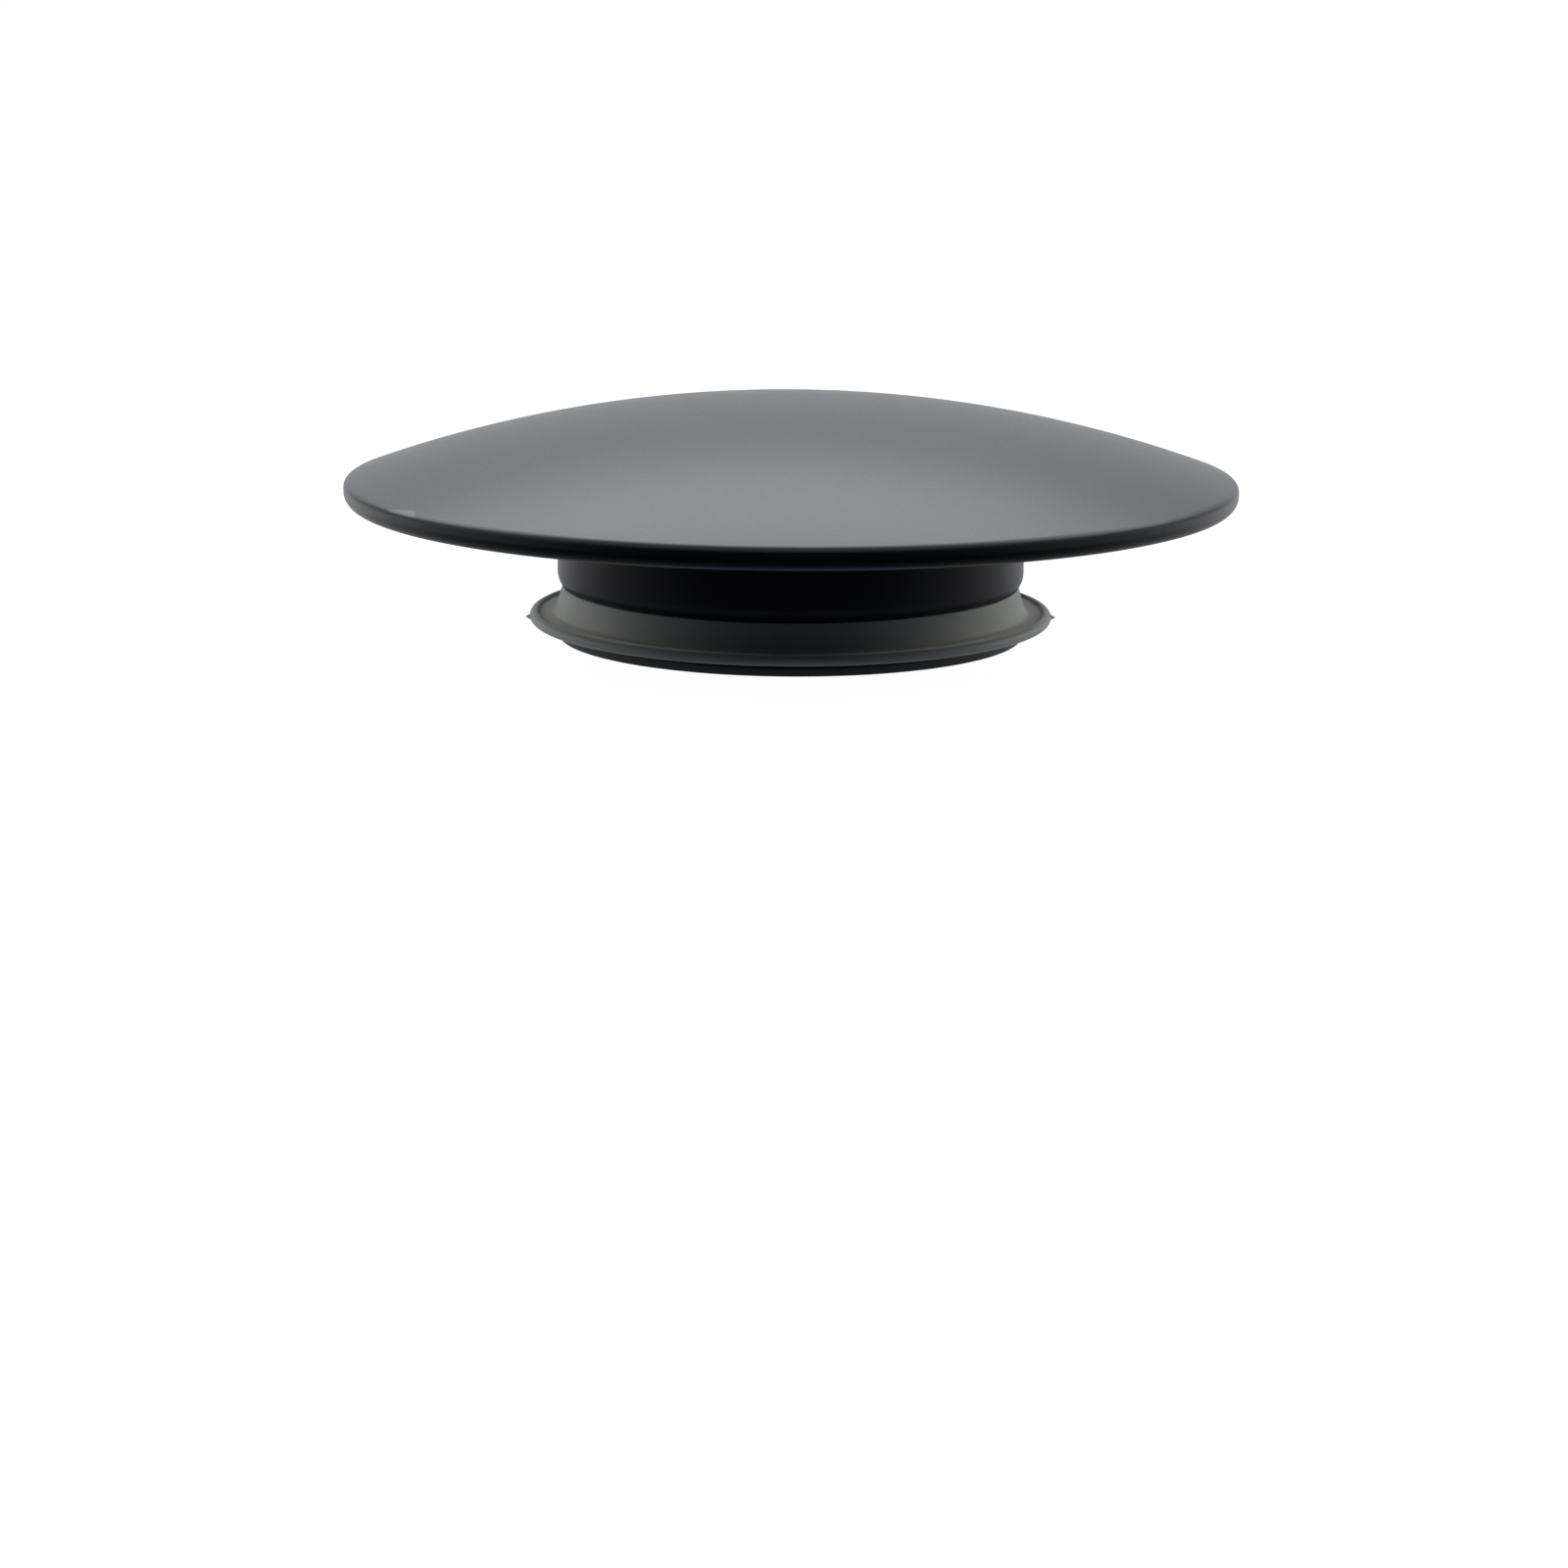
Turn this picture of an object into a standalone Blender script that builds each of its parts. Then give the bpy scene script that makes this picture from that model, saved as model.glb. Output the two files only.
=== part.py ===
"""Pop-up drain cover for a basin waste.

A domed cap sits on a round plug body with a rubber lip seal. Inside the body is the short
push-push core that lifts the cap and holds it down, and that screws on the waste's stud.

Metres, +Z up. Z is the axis of every turned piece, of the cap's slide and of the rotor. The base
plane is the underside of the core's foot, and the cap is shown closed, latched down.
"""

import math

import bmesh
import bpy
from mathutils import Matrix, Vector

MM = 0.001

# Fits shared by the pieces
SEAT_GAP = 0.3 * MM  # between two pieces that rest on each other
RUNNING_GAP = 0.2 * MM  # between two pieces that turn or slide on each other
OVERRUN = 1.0 * MM  # how far a cutter reaches past what it cuts
MERGE_DISTANCE = 0.001 * MM  # turned points nearer than this become one

# Motion: the cap rises by the lift, and is pressed past its rest to unlatch
LIFT = 6.0 * MM
OVERTRAVEL = 0.6 * MM
ROTOR_TURN = math.radians(60)  # over the lift

# Threaded insert for the waste's M8 stud. The radii of the core and the plug body build up from it
INSERT_BORE_R = 3.35 * MM
INSERT_WALL = 1.15 * MM
INSERT_RECESS = 0.1 * MM
INSERT_CHAMFER = 0.35 * MM

# Foot, with the post round the insert
FOOT_T = 1.2 * MM
FOOT_CLEARANCE = 0.4 * MM  # from the foot's edge to the plug body
POST_WALL = 1.0 * MM
POST_CROWN = 0.8 * MM

# Main spring round the post, and its upper seat
WIRE_R = 0.4 * MM
SPRING_TURNS = 4.5
SPRING_CLEARANCE = 0.5 * MM  # to the post inside it and to the plunger round it
SPRING_SEAT_T = 0.4 * MM
SPRING_SEAT_LEDGE = 0.4 * MM  # how far the seat reaches inside the wire

# Plunger round the spring, with a shoulder above the rotor and a clip below it
TUBE_WALL = 1.0 * MM
SHOULDER_W = 0.8 * MM
PLUNGER_WEB_T = 0.9 * MM
THRUST_T = 0.3 * MM
CLIP_W = 1.1 * MM
CLIP_T = 0.4 * MM
CLIP_SET = 0.1 * MM  # tube end below the clip
CLIP_MOUTH = 2.0 * MM

# Rotor and its pins
ROTOR_WALL = 1.8 * MM
ROTOR_T = 2.0 * MM
PIN_R = 0.5 * MM
PIN_CLEARANCE = 0.15 * MM
PIN_ROOT = 0.45 * MM  # rotor bore to the pin's inner end
PIN_END_GAP = 0.3 * MM  # pin end to the barrel's outer face

# Barrel round the rotor, and the ring that closes it
BARREL_CLEARANCE = 0.3 * MM
BARREL_WALL = 1.1 * MM
SLOT_END_WALL = 0.205 * MM  # above a cam slot
TOP_RING_T = 0.7 * MM

# Tie screws, up through the foot and the barrel's ribs into the ring
SCREW_R = 0.7 * MM
SCREW_POINT = 0.3 * MM
SCREW_HEAD_R = 1.2 * MM
SCREW_HEAD_T = 0.5 * MM
SCREW_RECESS = 0.1 * MM
SCREW_WALL = 0.5 * MM  # from the barrel's bore to a screw's hole
HEAD_SIDE_WALL = 0.3 * MM  # beside the hole for a screw's head
HEAD_END_WALL = 0.1 * MM  # outside the hole for a screw's head
DRIVE_W = 0.3 * MM
DRIVE_LENGTH = 1.5 * MM
DRIVE_DEPTH = 0.25 * MM

# Ribs of the barrel and their keyways in the plug body
RIB_COUNT = 3
KEY_DEPTH = 0.4 * MM
KEY_CLEARANCE = 0.4 * MM
KEY_RELIEF = 0.2 * MM  # how far a keyway runs into the web

# Plug body: collar under the cap, neck through the seal
NECK_WALL = 1.2 * MM  # behind a keyway
NECK_RECESS = 0.15 * MM  # neck end above the base plane
NECK_CHAMFER = 0.2 * MM
COLLAR_STEP = 1.92 * MM
COLLAR_EDGE_R = 0.7 * MM
COLLAR_BEVEL = 1.82 * MM  # outside the flat top, to clear the cap
WEB_T = 1.1 * MM

# Seal retainer, a ring that screws on the neck
RETAINER_W = 1.6 * MM
RETAINER_T = 0.65 * MM
RETAINER_CHAMFER = 0.1 * MM
NOTCH_W = 1.8 * MM
NOTCH_REACH = 0.9 * MM
NOTCH_DEPTH = 0.35 * MM
NOTCH_COUNT = 4

# Lip seal: crown round the neck, and a lip with a rounded thicker edge
SEAL_H = 2.55 * MM
SEAL_WALL = 1.28 * MM
SEAL_EDGE_R = 0.2 * MM
SEAL_FLARE = 0.52 * MM  # the crown's foot outside its top
SEAL_FILLET_R = 0.75 * MM
CROWN_TAPER = 10  # degrees off upright, at the foot of the crown
LIP_REACH = 1.9 * MM  # from the foot of the crown
LIP_T = 0.72 * MM
LIP_BEAD_R = 0.27 * MM
LIP_BEAD_START = 120  # degrees
LIP_RAKE = 0.24 * MM  # how much the underside climbs to the edge
LIP_FALL = 2  # degrees, outwards along the top
LIP_FLAT = 0.2 * MM  # level part of the underside, outside the foot of the crown

# Domed cap
CAP_R = 33.0 * MM
CAP_RISE = 6.55 * MM  # apex above the middle of the rim
CAP_WALL = 1.92 * MM  # the rim is a full round of this thickness
BOSS_WALL = 2.3 * MM
BOSS_CROWN = 1.2 * MM  # metal left above the stud's hole

# Stud, nut, washer and gasket that fix the cap
STUD_R = 2.4 * MM
NUT_WALL = 1.3 * MM  # from its hole to a flat
NUT_T = 2.2 * MM
LOCK_WASHER_W = 1.6 * MM
LOCK_WASHER_T = 0.6 * MM
LOCK_WASHER_SPLIT = 0.5 * MM
GASKET_W = 5.2 * MM

# Facets
CAP_STEPS = 72
BODY_STEPS = 64
CORE_STEPS = 36
SMALL_STEPS = 24
PIN_STEPS = 12
NUT_SIDES = 6
DOME_STEPS = 9
UNDERSIDE_STEPS = 4
RIM_TOP_STEPS = 3
RIM_UNDER_STEPS = 4
COLLAR_EDGE_STEPS = 4
SEAL_EDGE_STEPS = 2
FILLET_STEPS = 3
BEAD_STEPS = 5
SLOT_STEPS = 15  # odd, so that none of the steps falls on an edge in the middle of a sector
SPRING_POINTS = 10  # each turn
CREASE = math.radians(32)

# Radii of the core, from the insert outwards
INSERT_R = INSERT_BORE_R + INSERT_WALL
INSERT_HOLE_R = INSERT_R + SEAT_GAP
POST_R = INSERT_HOLE_R + POST_WALL
SPRING_R = POST_R + SPRING_CLEARANCE + WIRE_R  # middle of the wire
TUBE_BORE_R = SPRING_R + WIRE_R + SPRING_CLEARANCE
TUBE_R = TUBE_BORE_R + TUBE_WALL
PLUNGER_R = TUBE_R + SHOULDER_W
ROTOR_BORE_R = TUBE_R + RUNNING_GAP
ROTOR_R = ROTOR_BORE_R + ROTOR_WALL
CLIP_R = ROTOR_BORE_R + CLIP_W
RING_BORE_R = PLUNGER_R + RUNNING_GAP
BARREL_BORE_R = ROTOR_R + BARREL_CLEARANCE
BARREL_R = BARREL_BORE_R + BARREL_WALL
PIN_INNER_R = ROTOR_BORE_R + PIN_ROOT
PIN_OUTER_R = BARREL_R - PIN_END_GAP
SCREW_HOLE_R = SCREW_R + RUNNING_GAP
HEAD_HOLE_R = SCREW_HEAD_R + RUNNING_GAP
SCREW_CIRCLE_R = BARREL_BORE_R + SCREW_WALL + SCREW_HOLE_R
RIB_R = SCREW_CIRCLE_R + HEAD_HOLE_R + HEAD_END_WALL
RIB_W = 2 * (HEAD_HOLE_R + HEAD_SIDE_WALL)

# Radii of what is round the core
CAVITY_R = RIB_R - KEY_DEPTH
FOOT_R = CAVITY_R - FOOT_CLEARANCE
NECK_R = RIB_R + KEY_CLEARANCE + NECK_WALL
NECK_HOLE_R = NECK_R + SEAT_GAP
COLLAR_R = NECK_R + COLLAR_STEP
COLLAR_FLAT_R = COLLAR_R - COLLAR_BEVEL
RETAINER_R = NECK_HOLE_R + RETAINER_W
SEAL_TOP_R = NECK_HOLE_R + SEAL_WALL
SEAL_ROOT_R = SEAL_TOP_R + SEAL_FLARE
LIP_R = SEAL_ROOT_R + LIP_REACH

# Radii of what fixes the cap
STUD_HOLE_R = STUD_R + SEAT_GAP
BOSS_R = STUD_HOLE_R + BOSS_WALL
LOCK_WASHER_R = STUD_HOLE_R + LOCK_WASHER_W
NUT_FLAT_R = STUD_HOLE_R + NUT_WALL
GASKET_BORE_R = BOSS_R + SEAT_GAP
GASKET_R = GASKET_BORE_R + GASKET_W

# Turn of the rotor, and the barrel's helical slots round the pins' paths
TURN_PER_LIFT = ROTOR_TURN / LIFT
OVERTURN = TURN_PER_LIFT * OVERTRAVEL
SECTOR = 2 * math.pi / RIB_COUNT
FIRST_RIB = math.pi / 2
RIB_ANGLES = [FIRST_RIB + SECTOR * number for number in range(RIB_COUNT)]
PIN_ANGLES = [angle + (SECTOR - ROTOR_TURN + OVERTURN) / 2 for angle in RIB_ANGLES]
SLOT_MIDDLE_R = (BARREL_BORE_R + BARREL_R) / 2
SLOT_SLOPE = math.atan2(1, TURN_PER_LIFT * SLOT_MIDDLE_R)
SLOT_HALF_H = (PIN_R + RUNNING_GAP) / math.cos(SLOT_SLOPE)
SLOT_MARGIN = (PIN_R + RUNNING_GAP) / SLOT_MIDDLE_R  # angle past each end of a pin's path
SLOT_REACH = SLOT_MARGIN / TURN_PER_LIFT + SLOT_HALF_H  # height past each end of a pin's path

# Heights from the base plane up
BARREL_BOTTOM = FOOT_T + SEAT_GAP
SPRING_BOTTOM = FOOT_T + SEAT_GAP
TUBE_END = FOOT_T + OVERTRAVEL + RUNNING_GAP
CLIP_BOTTOM = TUBE_END + CLIP_SET
ROTOR_BOTTOM = CLIP_BOTTOM + CLIP_T + RUNNING_GAP
PIN_HEIGHT = ROTOR_BOTTOM + ROTOR_T / 2
THRUST_BOTTOM = ROTOR_BOTTOM + ROTOR_T + RUNNING_GAP
SHOULDER = THRUST_BOTTOM + THRUST_T + RUNNING_GAP
BARREL_TOP = PIN_HEIGHT + LIFT + SLOT_REACH + SLOT_END_WALL
TOP_RING_BOTTOM = BARREL_TOP + SEAT_GAP
TOP_RING_TOP = TOP_RING_BOTTOM + TOP_RING_T
WEB_UNDER = TOP_RING_TOP + OVERTRAVEL + SEAT_GAP
WEB_TOP = WEB_UNDER + WEB_T
CAP_SEAT = WEB_TOP + SEAT_GAP
SEAL_BOTTOM = RETAINER_T + SEAT_GAP
SEAL_TOP = SEAL_BOTTOM + SEAL_H
COLLAR_BOTTOM = SEAL_TOP + SEAT_GAP

# Heights from the web down
PLUNGER_TOP = WEB_UNDER - SEAT_GAP
PLUNGER_UNDER = PLUNGER_TOP - PLUNGER_WEB_T
SPRING_SEAT_TOP = PLUNGER_UNDER - RUNNING_GAP
SPRING_TOP = SPRING_SEAT_TOP - SPRING_SEAT_T - SEAT_GAP
LOCK_WASHER_TOP = PLUNGER_UNDER - RUNNING_GAP
NUT_TOP = LOCK_WASHER_TOP - LOCK_WASHER_T - RUNNING_GAP
STUD_END = NUT_TOP - NUT_T - SEAT_GAP
POST_TOP = STUD_END - OVERTRAVEL - SEAT_GAP

# The sphere of the cap's top is tangent to the round rim, and the one inside it rests on the
# edge of the plug body's flat top
RIM_R = CAP_WALL / 2
RIM_CENTRE_R = CAP_R - RIM_R
DOME_RISE = CAP_RISE - RIM_R
DOME_DROP = (RIM_CENTRE_R**2 - DOME_RISE**2) / (2 * DOME_RISE)  # sphere's centre below the rim
DOME_R = CAP_RISE + DOME_DROP
UNDERSIDE_R = DOME_R - CAP_WALL
DOME_CENTRE = CAP_SEAT - math.sqrt(UNDERSIDE_R**2 - COLLAR_FLAT_R**2)
RIM_HEIGHT = DOME_CENTRE + DOME_DROP
RIM_ANGLE = math.degrees(math.atan2(DOME_DROP, RIM_CENTRE_R))
CAP_TOP = RIM_HEIGHT + CAP_RISE


def under_cap(radius):
    """Height of the cap's underside at this radius."""
    return DOME_CENTRE + math.sqrt(UNDERSIDE_R**2 - radius**2)


for old in list(bpy.data.objects):
    bpy.data.objects.remove(old)

parts = bpy.data.collections.new("pop_up_drain_cover")
cutters = bpy.data.collections.new("cutters")
for collection in (parts, cutters):
    bpy.context.scene.collection.children.link(collection)
cutters.hide_render = True


def arc(centre_r, centre_z, radius, start, end, steps):
    """Points on an arc of a profile. Angles are in degrees, from outwards towards up."""
    turns = [math.radians(start + (end - start) * step / steps) for step in range(steps + 1)]
    return [(centre_r + radius * math.cos(t), centre_z + radius * math.sin(t)) for t in turns]


def finish(name, colour, roughness, metallic):
    """A plain surface of one colour, given as red, green and blue shares."""
    material = bpy.data.materials.new(name)
    material.use_nodes = True
    shader = material.node_tree.nodes["Principled BSDF"]
    shader.inputs["Base Color"].default_value = (*colour, 1)
    shader.inputs["Roughness"].default_value = roughness
    shader.inputs["Metallic"].default_value = metallic
    return material


def applied(obj):
    """The object with its modifiers worked into its mesh."""
    graph = bpy.context.evaluated_depsgraph_get()
    mesh = bpy.data.meshes.new_from_object(obj.evaluated_get(graph))
    old = obj.data
    obj.modifiers.clear()
    obj.data = mesh
    bpy.data.meshes.remove(old)
    return obj


def object_of(name, mesh, place=(0, 0, 0)):
    obj = bpy.data.objects.new(name, mesh)
    obj.location = place
    parts.objects.link(obj)
    return obj


def turned(name, profile, steps, closed=True, place=(0, 0, 0)):
    """A solid of revolution about its own Z. The profile runs down the outer side first, and its
    heights are from the base plane: the origin goes to its lowest point, on the axis."""
    base = min(height for _, height in profile)
    mesh = bpy.data.meshes.new(name)
    points = [(radius, 0, height - base) for radius, height in profile]
    edges = [(i, i + 1) for i in range(len(points) - 1)]
    if closed:
        edges.append((len(points) - 1, 0))
    mesh.from_pydata(points, edges, [])
    obj = object_of(name, mesh, Vector(place) + Vector((0, 0, base)))
    screw = obj.modifiers.new("turn", "SCREW")
    screw.steps = steps
    screw.render_steps = steps
    screw.use_merge_vertices = True
    screw.merge_threshold = MERGE_DISTANCE
    return applied(obj)


def cutter(obj):
    """Takes an object out of the parts, so that it only cuts."""
    parts.objects.unlink(obj)
    cutters.objects.link(obj)
    obj.hide_render = True
    obj.display_type = "WIRE"
    return obj


def boolean(obj, other, operation="DIFFERENCE"):
    change = obj.modifiers.new("cut", "BOOLEAN")
    change.operation = operation
    change.solver = "EXACT"
    change.object = cutter(other)
    bpy.context.view_layer.update()
    return applied(obj)


def radial_box(name, inner, outer, width, bottom, top, angle):
    """A box that reaches outwards between two radii, at this angle about Z."""
    shape = bmesh.new()
    bmesh.ops.create_cube(shape, size=1)
    size = Matrix.Diagonal((outer - inner, width, top - bottom, 1))
    centre = Matrix.Translation(((inner + outer) / 2, 0, (bottom + top) / 2))
    shape.transform(Matrix.Rotation(angle, 4, "Z") @ centre @ size)
    mesh = bpy.data.meshes.new(name)
    shape.to_mesh(mesh)
    shape.free()
    return object_of(name, mesh)


def cylinder(name, radius, bottom, top, steps):
    """An upright cylinder on the axis."""
    return turned(name, [(0, top), (radius, top), (radius, bottom), (0, bottom)], steps, closed=False)


def radial_cylinder(name, radius, inner, outer, height, angle, steps):
    """A cylinder that lies outwards between two radii, at this angle about Z."""
    obj = cylinder(name, radius, 0, outer - inner, steps)
    lay = Matrix.Rotation(math.radians(90), 4, "Y")
    out = Matrix.Translation((inner, 0, height))
    obj.data.transform(Matrix.Rotation(angle, 4, "Z") @ out @ lay)
    return obj


def mesh_of_curve(name, curve):
    """The solid that a curve makes, as a mesh with its caps welded on."""
    drawn = bpy.data.objects.new(name, curve)
    parts.objects.link(drawn)
    graph = bpy.context.evaluated_depsgraph_get()
    mesh = bpy.data.meshes.new_from_object(drawn.evaluated_get(graph))
    bpy.data.objects.remove(drawn)
    shape = bmesh.new()
    shape.from_mesh(mesh)
    bmesh.ops.remove_doubles(shape, verts=shape.verts, dist=MERGE_DISTANCE)
    bmesh.ops.recalc_face_normals(shape, faces=shape.faces)
    shape.to_mesh(mesh)
    shape.free()
    return mesh


def complete(obj, material, parent=None):
    """Gives a finished piece its surface, its smooth shading and what carries it."""
    obj.data.materials.clear()
    obj.data.materials.append(material)
    obj.data.shade_smooth()
    obj.data.set_sharp_from_angle(angle=CREASE)
    obj.parent = parent
    return obj


def empty(name, parent=None):
    """A point on the axis that a joint's pieces hang on."""
    obj = bpy.data.objects.new(name, None)
    parts.objects.link(obj)
    obj.parent = parent
    return obj


def make_dome_cap(parent):
    """Cast cap with a round rim, and a boss inside for the stud."""
    hole_end = CAP_TOP - BOSS_CROWN
    boss_angle = math.degrees(math.acos(BOSS_R / UNDERSIDE_R))
    profile = arc(0, DOME_CENTRE, DOME_R, 90, RIM_ANGLE, DOME_STEPS)
    profile += arc(RIM_CENTRE_R, RIM_HEIGHT, RIM_R, RIM_ANGLE, 0, RIM_TOP_STEPS)[1:]
    profile += arc(RIM_CENTRE_R, RIM_HEIGHT, RIM_R, 0, RIM_ANGLE - 180, RIM_UNDER_STEPS)[1:]
    profile += arc(0, DOME_CENTRE, UNDERSIDE_R, RIM_ANGLE, boss_angle, UNDERSIDE_STEPS)[1:]
    profile += [(BOSS_R, CAP_SEAT), (STUD_HOLE_R, CAP_SEAT), (STUD_HOLE_R, hole_end), (0, hole_end)]
    cap = turned("dome_cap", profile, CAP_STEPS, closed=False)
    complete(cap, finish("satin_black_paint", (0.030, 0.031, 0.034), 0.38, 0), parent)


def make_cap_fixings(parent):
    """Stud, lock washer and nut that clamp the cap, the plug body and the plunger together."""
    steel = finish("stainless_steel", (0.55, 0.55, 0.56), 0.3, 1)
    stud_top = CAP_TOP - BOSS_CROWN - SEAT_GAP
    complete(cylinder("cap_stud", STUD_R, STUD_END, stud_top, SMALL_STEPS), steel, parent)

    top = LOCK_WASHER_TOP
    bottom = top - LOCK_WASHER_T
    profile = [(LOCK_WASHER_R, top), (LOCK_WASHER_R, bottom), (STUD_HOLE_R, bottom), (STUD_HOLE_R, top)]
    washer = turned("cap_lock_washer", profile, SMALL_STEPS)
    reach = LOCK_WASHER_R + OVERRUN
    split = radial_box("washer_split", 0, reach, LOCK_WASHER_SPLIT, bottom - OVERRUN, top + OVERRUN, 0)
    complete(boolean(washer, split), steel, parent)

    corner = NUT_FLAT_R / math.cos(math.pi / NUT_SIDES)
    bottom = NUT_TOP - NUT_T
    nut = cylinder("cap_nut", corner, bottom, NUT_TOP, NUT_SIDES)
    hole = cylinder("nut_hole", STUD_HOLE_R, bottom - OVERRUN, NUT_TOP + OVERRUN, SMALL_STEPS)
    complete(boolean(nut, hole), steel, parent)


def make_cap_gasket(parent):
    """Soft ring round the boss, which fills the room between the plug body and the cap."""
    bottom = CAP_SEAT
    top = under_cap(GASKET_R) - SEAT_GAP
    profile = [(GASKET_R, top), (GASKET_R, bottom), (GASKET_BORE_R, bottom), (GASKET_BORE_R, top)]
    gasket = turned("cap_gasket", profile, CORE_STEPS)
    complete(gasket, finish("gasket_rubber", (0.04, 0.04, 0.04), 0.8, 0), parent)


def make_plug_body(parent):
    """Turned cup: the collar under the cap, the neck through the seal, and keyways for the ribs."""
    edge_r = COLLAR_R - COLLAR_EDGE_R
    edge_height = COLLAR_BOTTOM + COLLAR_EDGE_R
    profile = [(COLLAR_R, under_cap(COLLAR_R) - SEAT_GAP)]
    profile += arc(edge_r, edge_height, COLLAR_EDGE_R, 0, -90, COLLAR_EDGE_STEPS)
    profile += [(NECK_R, COLLAR_BOTTOM)]
    profile += [(NECK_R, NECK_RECESS + NECK_CHAMFER), (NECK_R - NECK_CHAMFER, NECK_RECESS)]
    profile += [(CAVITY_R, NECK_RECESS), (CAVITY_R, WEB_UNDER), (STUD_HOLE_R, WEB_UNDER)]
    profile += [(STUD_HOLE_R, WEB_TOP), (COLLAR_FLAT_R, WEB_TOP)]
    body = turned("plug_body", profile, BODY_STEPS)
    inner = CAVITY_R - OVERRUN
    outer = RIB_R + KEY_CLEARANCE
    width = RIB_W + 2 * KEY_CLEARANCE
    for angle in RIB_ANGLES:
        keyway = radial_box("keyway", inner, outer, width, -OVERRUN, WEB_UNDER + KEY_RELIEF, angle)
        boolean(body, keyway)
    complete(body, finish("collar_black", (0.014, 0.014, 0.016), 0.42, 0), parent)


def make_lip_seal(parent):
    """Hat-shaped rubber seal: a short crown round the neck, and a thin lip with a rounded edge."""
    edge_r = SEAL_TOP_R - SEAL_EDGE_R
    fillet_centre_r = SEAL_ROOT_R + SEAL_FILLET_R
    fillet_height = SEAL_BOTTOM + LIP_T + SEAL_FILLET_R
    fillet_ends = (180 + CROWN_TAPER, 270 - LIP_FALL)
    bead_height = SEAL_BOTTOM + LIP_RAKE + LIP_BEAD_R
    profile = arc(edge_r, SEAL_TOP - SEAL_EDGE_R, SEAL_EDGE_R, 90, 0, SEAL_EDGE_STEPS)
    profile += arc(fillet_centre_r, fillet_height, SEAL_FILLET_R, *fillet_ends, FILLET_STEPS)
    profile += arc(LIP_R - LIP_BEAD_R, bead_height, LIP_BEAD_R, LIP_BEAD_START, -90, BEAD_STEPS)
    profile += [(SEAL_ROOT_R + LIP_FLAT, SEAL_BOTTOM)]
    profile += [(NECK_HOLE_R, SEAL_BOTTOM), (NECK_HOLE_R, SEAL_TOP)]
    seal = turned("lip_seal", profile, BODY_STEPS)
    complete(seal, finish("seal_rubber", (0.055, 0.056, 0.056), 0.6, 0), parent)


def make_seal_retainer(parent):
    """Flat ring that screws on the neck and holds the seal, with notches for a pin wrench."""
    profile = [(RETAINER_R, RETAINER_T), (RETAINER_R, RETAINER_CHAMFER)]
    profile += [(RETAINER_R - RETAINER_CHAMFER, 0), (NECK_HOLE_R, 0), (NECK_HOLE_R, RETAINER_T)]
    ring = turned("seal_retainer", profile, BODY_STEPS)
    for number in range(NOTCH_COUNT):
        angle = 2 * math.pi * (number + 0.5) / NOTCH_COUNT
        inner = NECK_HOLE_R - OVERRUN
        outer = NECK_HOLE_R + NOTCH_REACH
        boolean(ring, radial_box("wrench_notch", inner, outer, NOTCH_W, -OVERRUN, NOTCH_DEPTH, angle))
    complete(ring, finish("retainer_black", (0.012, 0.012, 0.013), 0.5, 0), parent)


def on_circle(radius, angle):
    return (radius * math.cos(angle), radius * math.sin(angle))


def circle_outline(radius, steps, angle=0, reach=0):
    """A circle whose centre is this far out at this angle."""
    centre = Vector(on_circle(reach, angle))
    return [centre + Vector(on_circle(radius, angle + 2 * math.pi * i / steps)) for i in range(steps)]


def ribbed_outline(radius):
    """A circle with the barrel's ribs standing out of it."""
    root = math.asin(RIB_W / 2 / radius)
    corner = math.atan2(RIB_W / 2, RIB_R)
    corner_r = math.hypot(RIB_W / 2, RIB_R)
    steps = CORE_STEPS // RIB_COUNT
    span = SECTOR - 2 * root
    outline = []
    for angle in RIB_ANGLES:
        outline += [on_circle(corner_r, angle - corner), on_circle(corner_r, angle + corner)]
        outline += [on_circle(radius, angle + root + span * i / steps) for i in range(steps + 1)]
    return outline


def ribbed_ring(name, radius, bore, bottom, top):
    """A ring with the barrel's ribs and the tie screws' holes, extruded from its outline."""
    outlines = [ribbed_outline(radius), circle_outline(bore, CORE_STEPS)]
    for angle in RIB_ANGLES:
        outlines.append(circle_outline(SCREW_HOLE_R, PIN_STEPS, angle, SCREW_CIRCLE_R))
    curve = bpy.data.curves.new(name, "CURVE")
    curve.dimensions = "2D"
    curve.fill_mode = "BOTH"
    curve.extrude = (top - bottom) / 2
    for outline in outlines:
        spline = curve.splines.new("POLY")
        spline.points.add(len(outline) - 1)
        for point, (x, y) in zip(spline.points, outline):
            point.co = (x, y, 0, 1)
        spline.use_cyclic_u = True
    return object_of(name, mesh_of_curve("drawn_outline", curve), (0, 0, (bottom + top) / 2))


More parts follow.
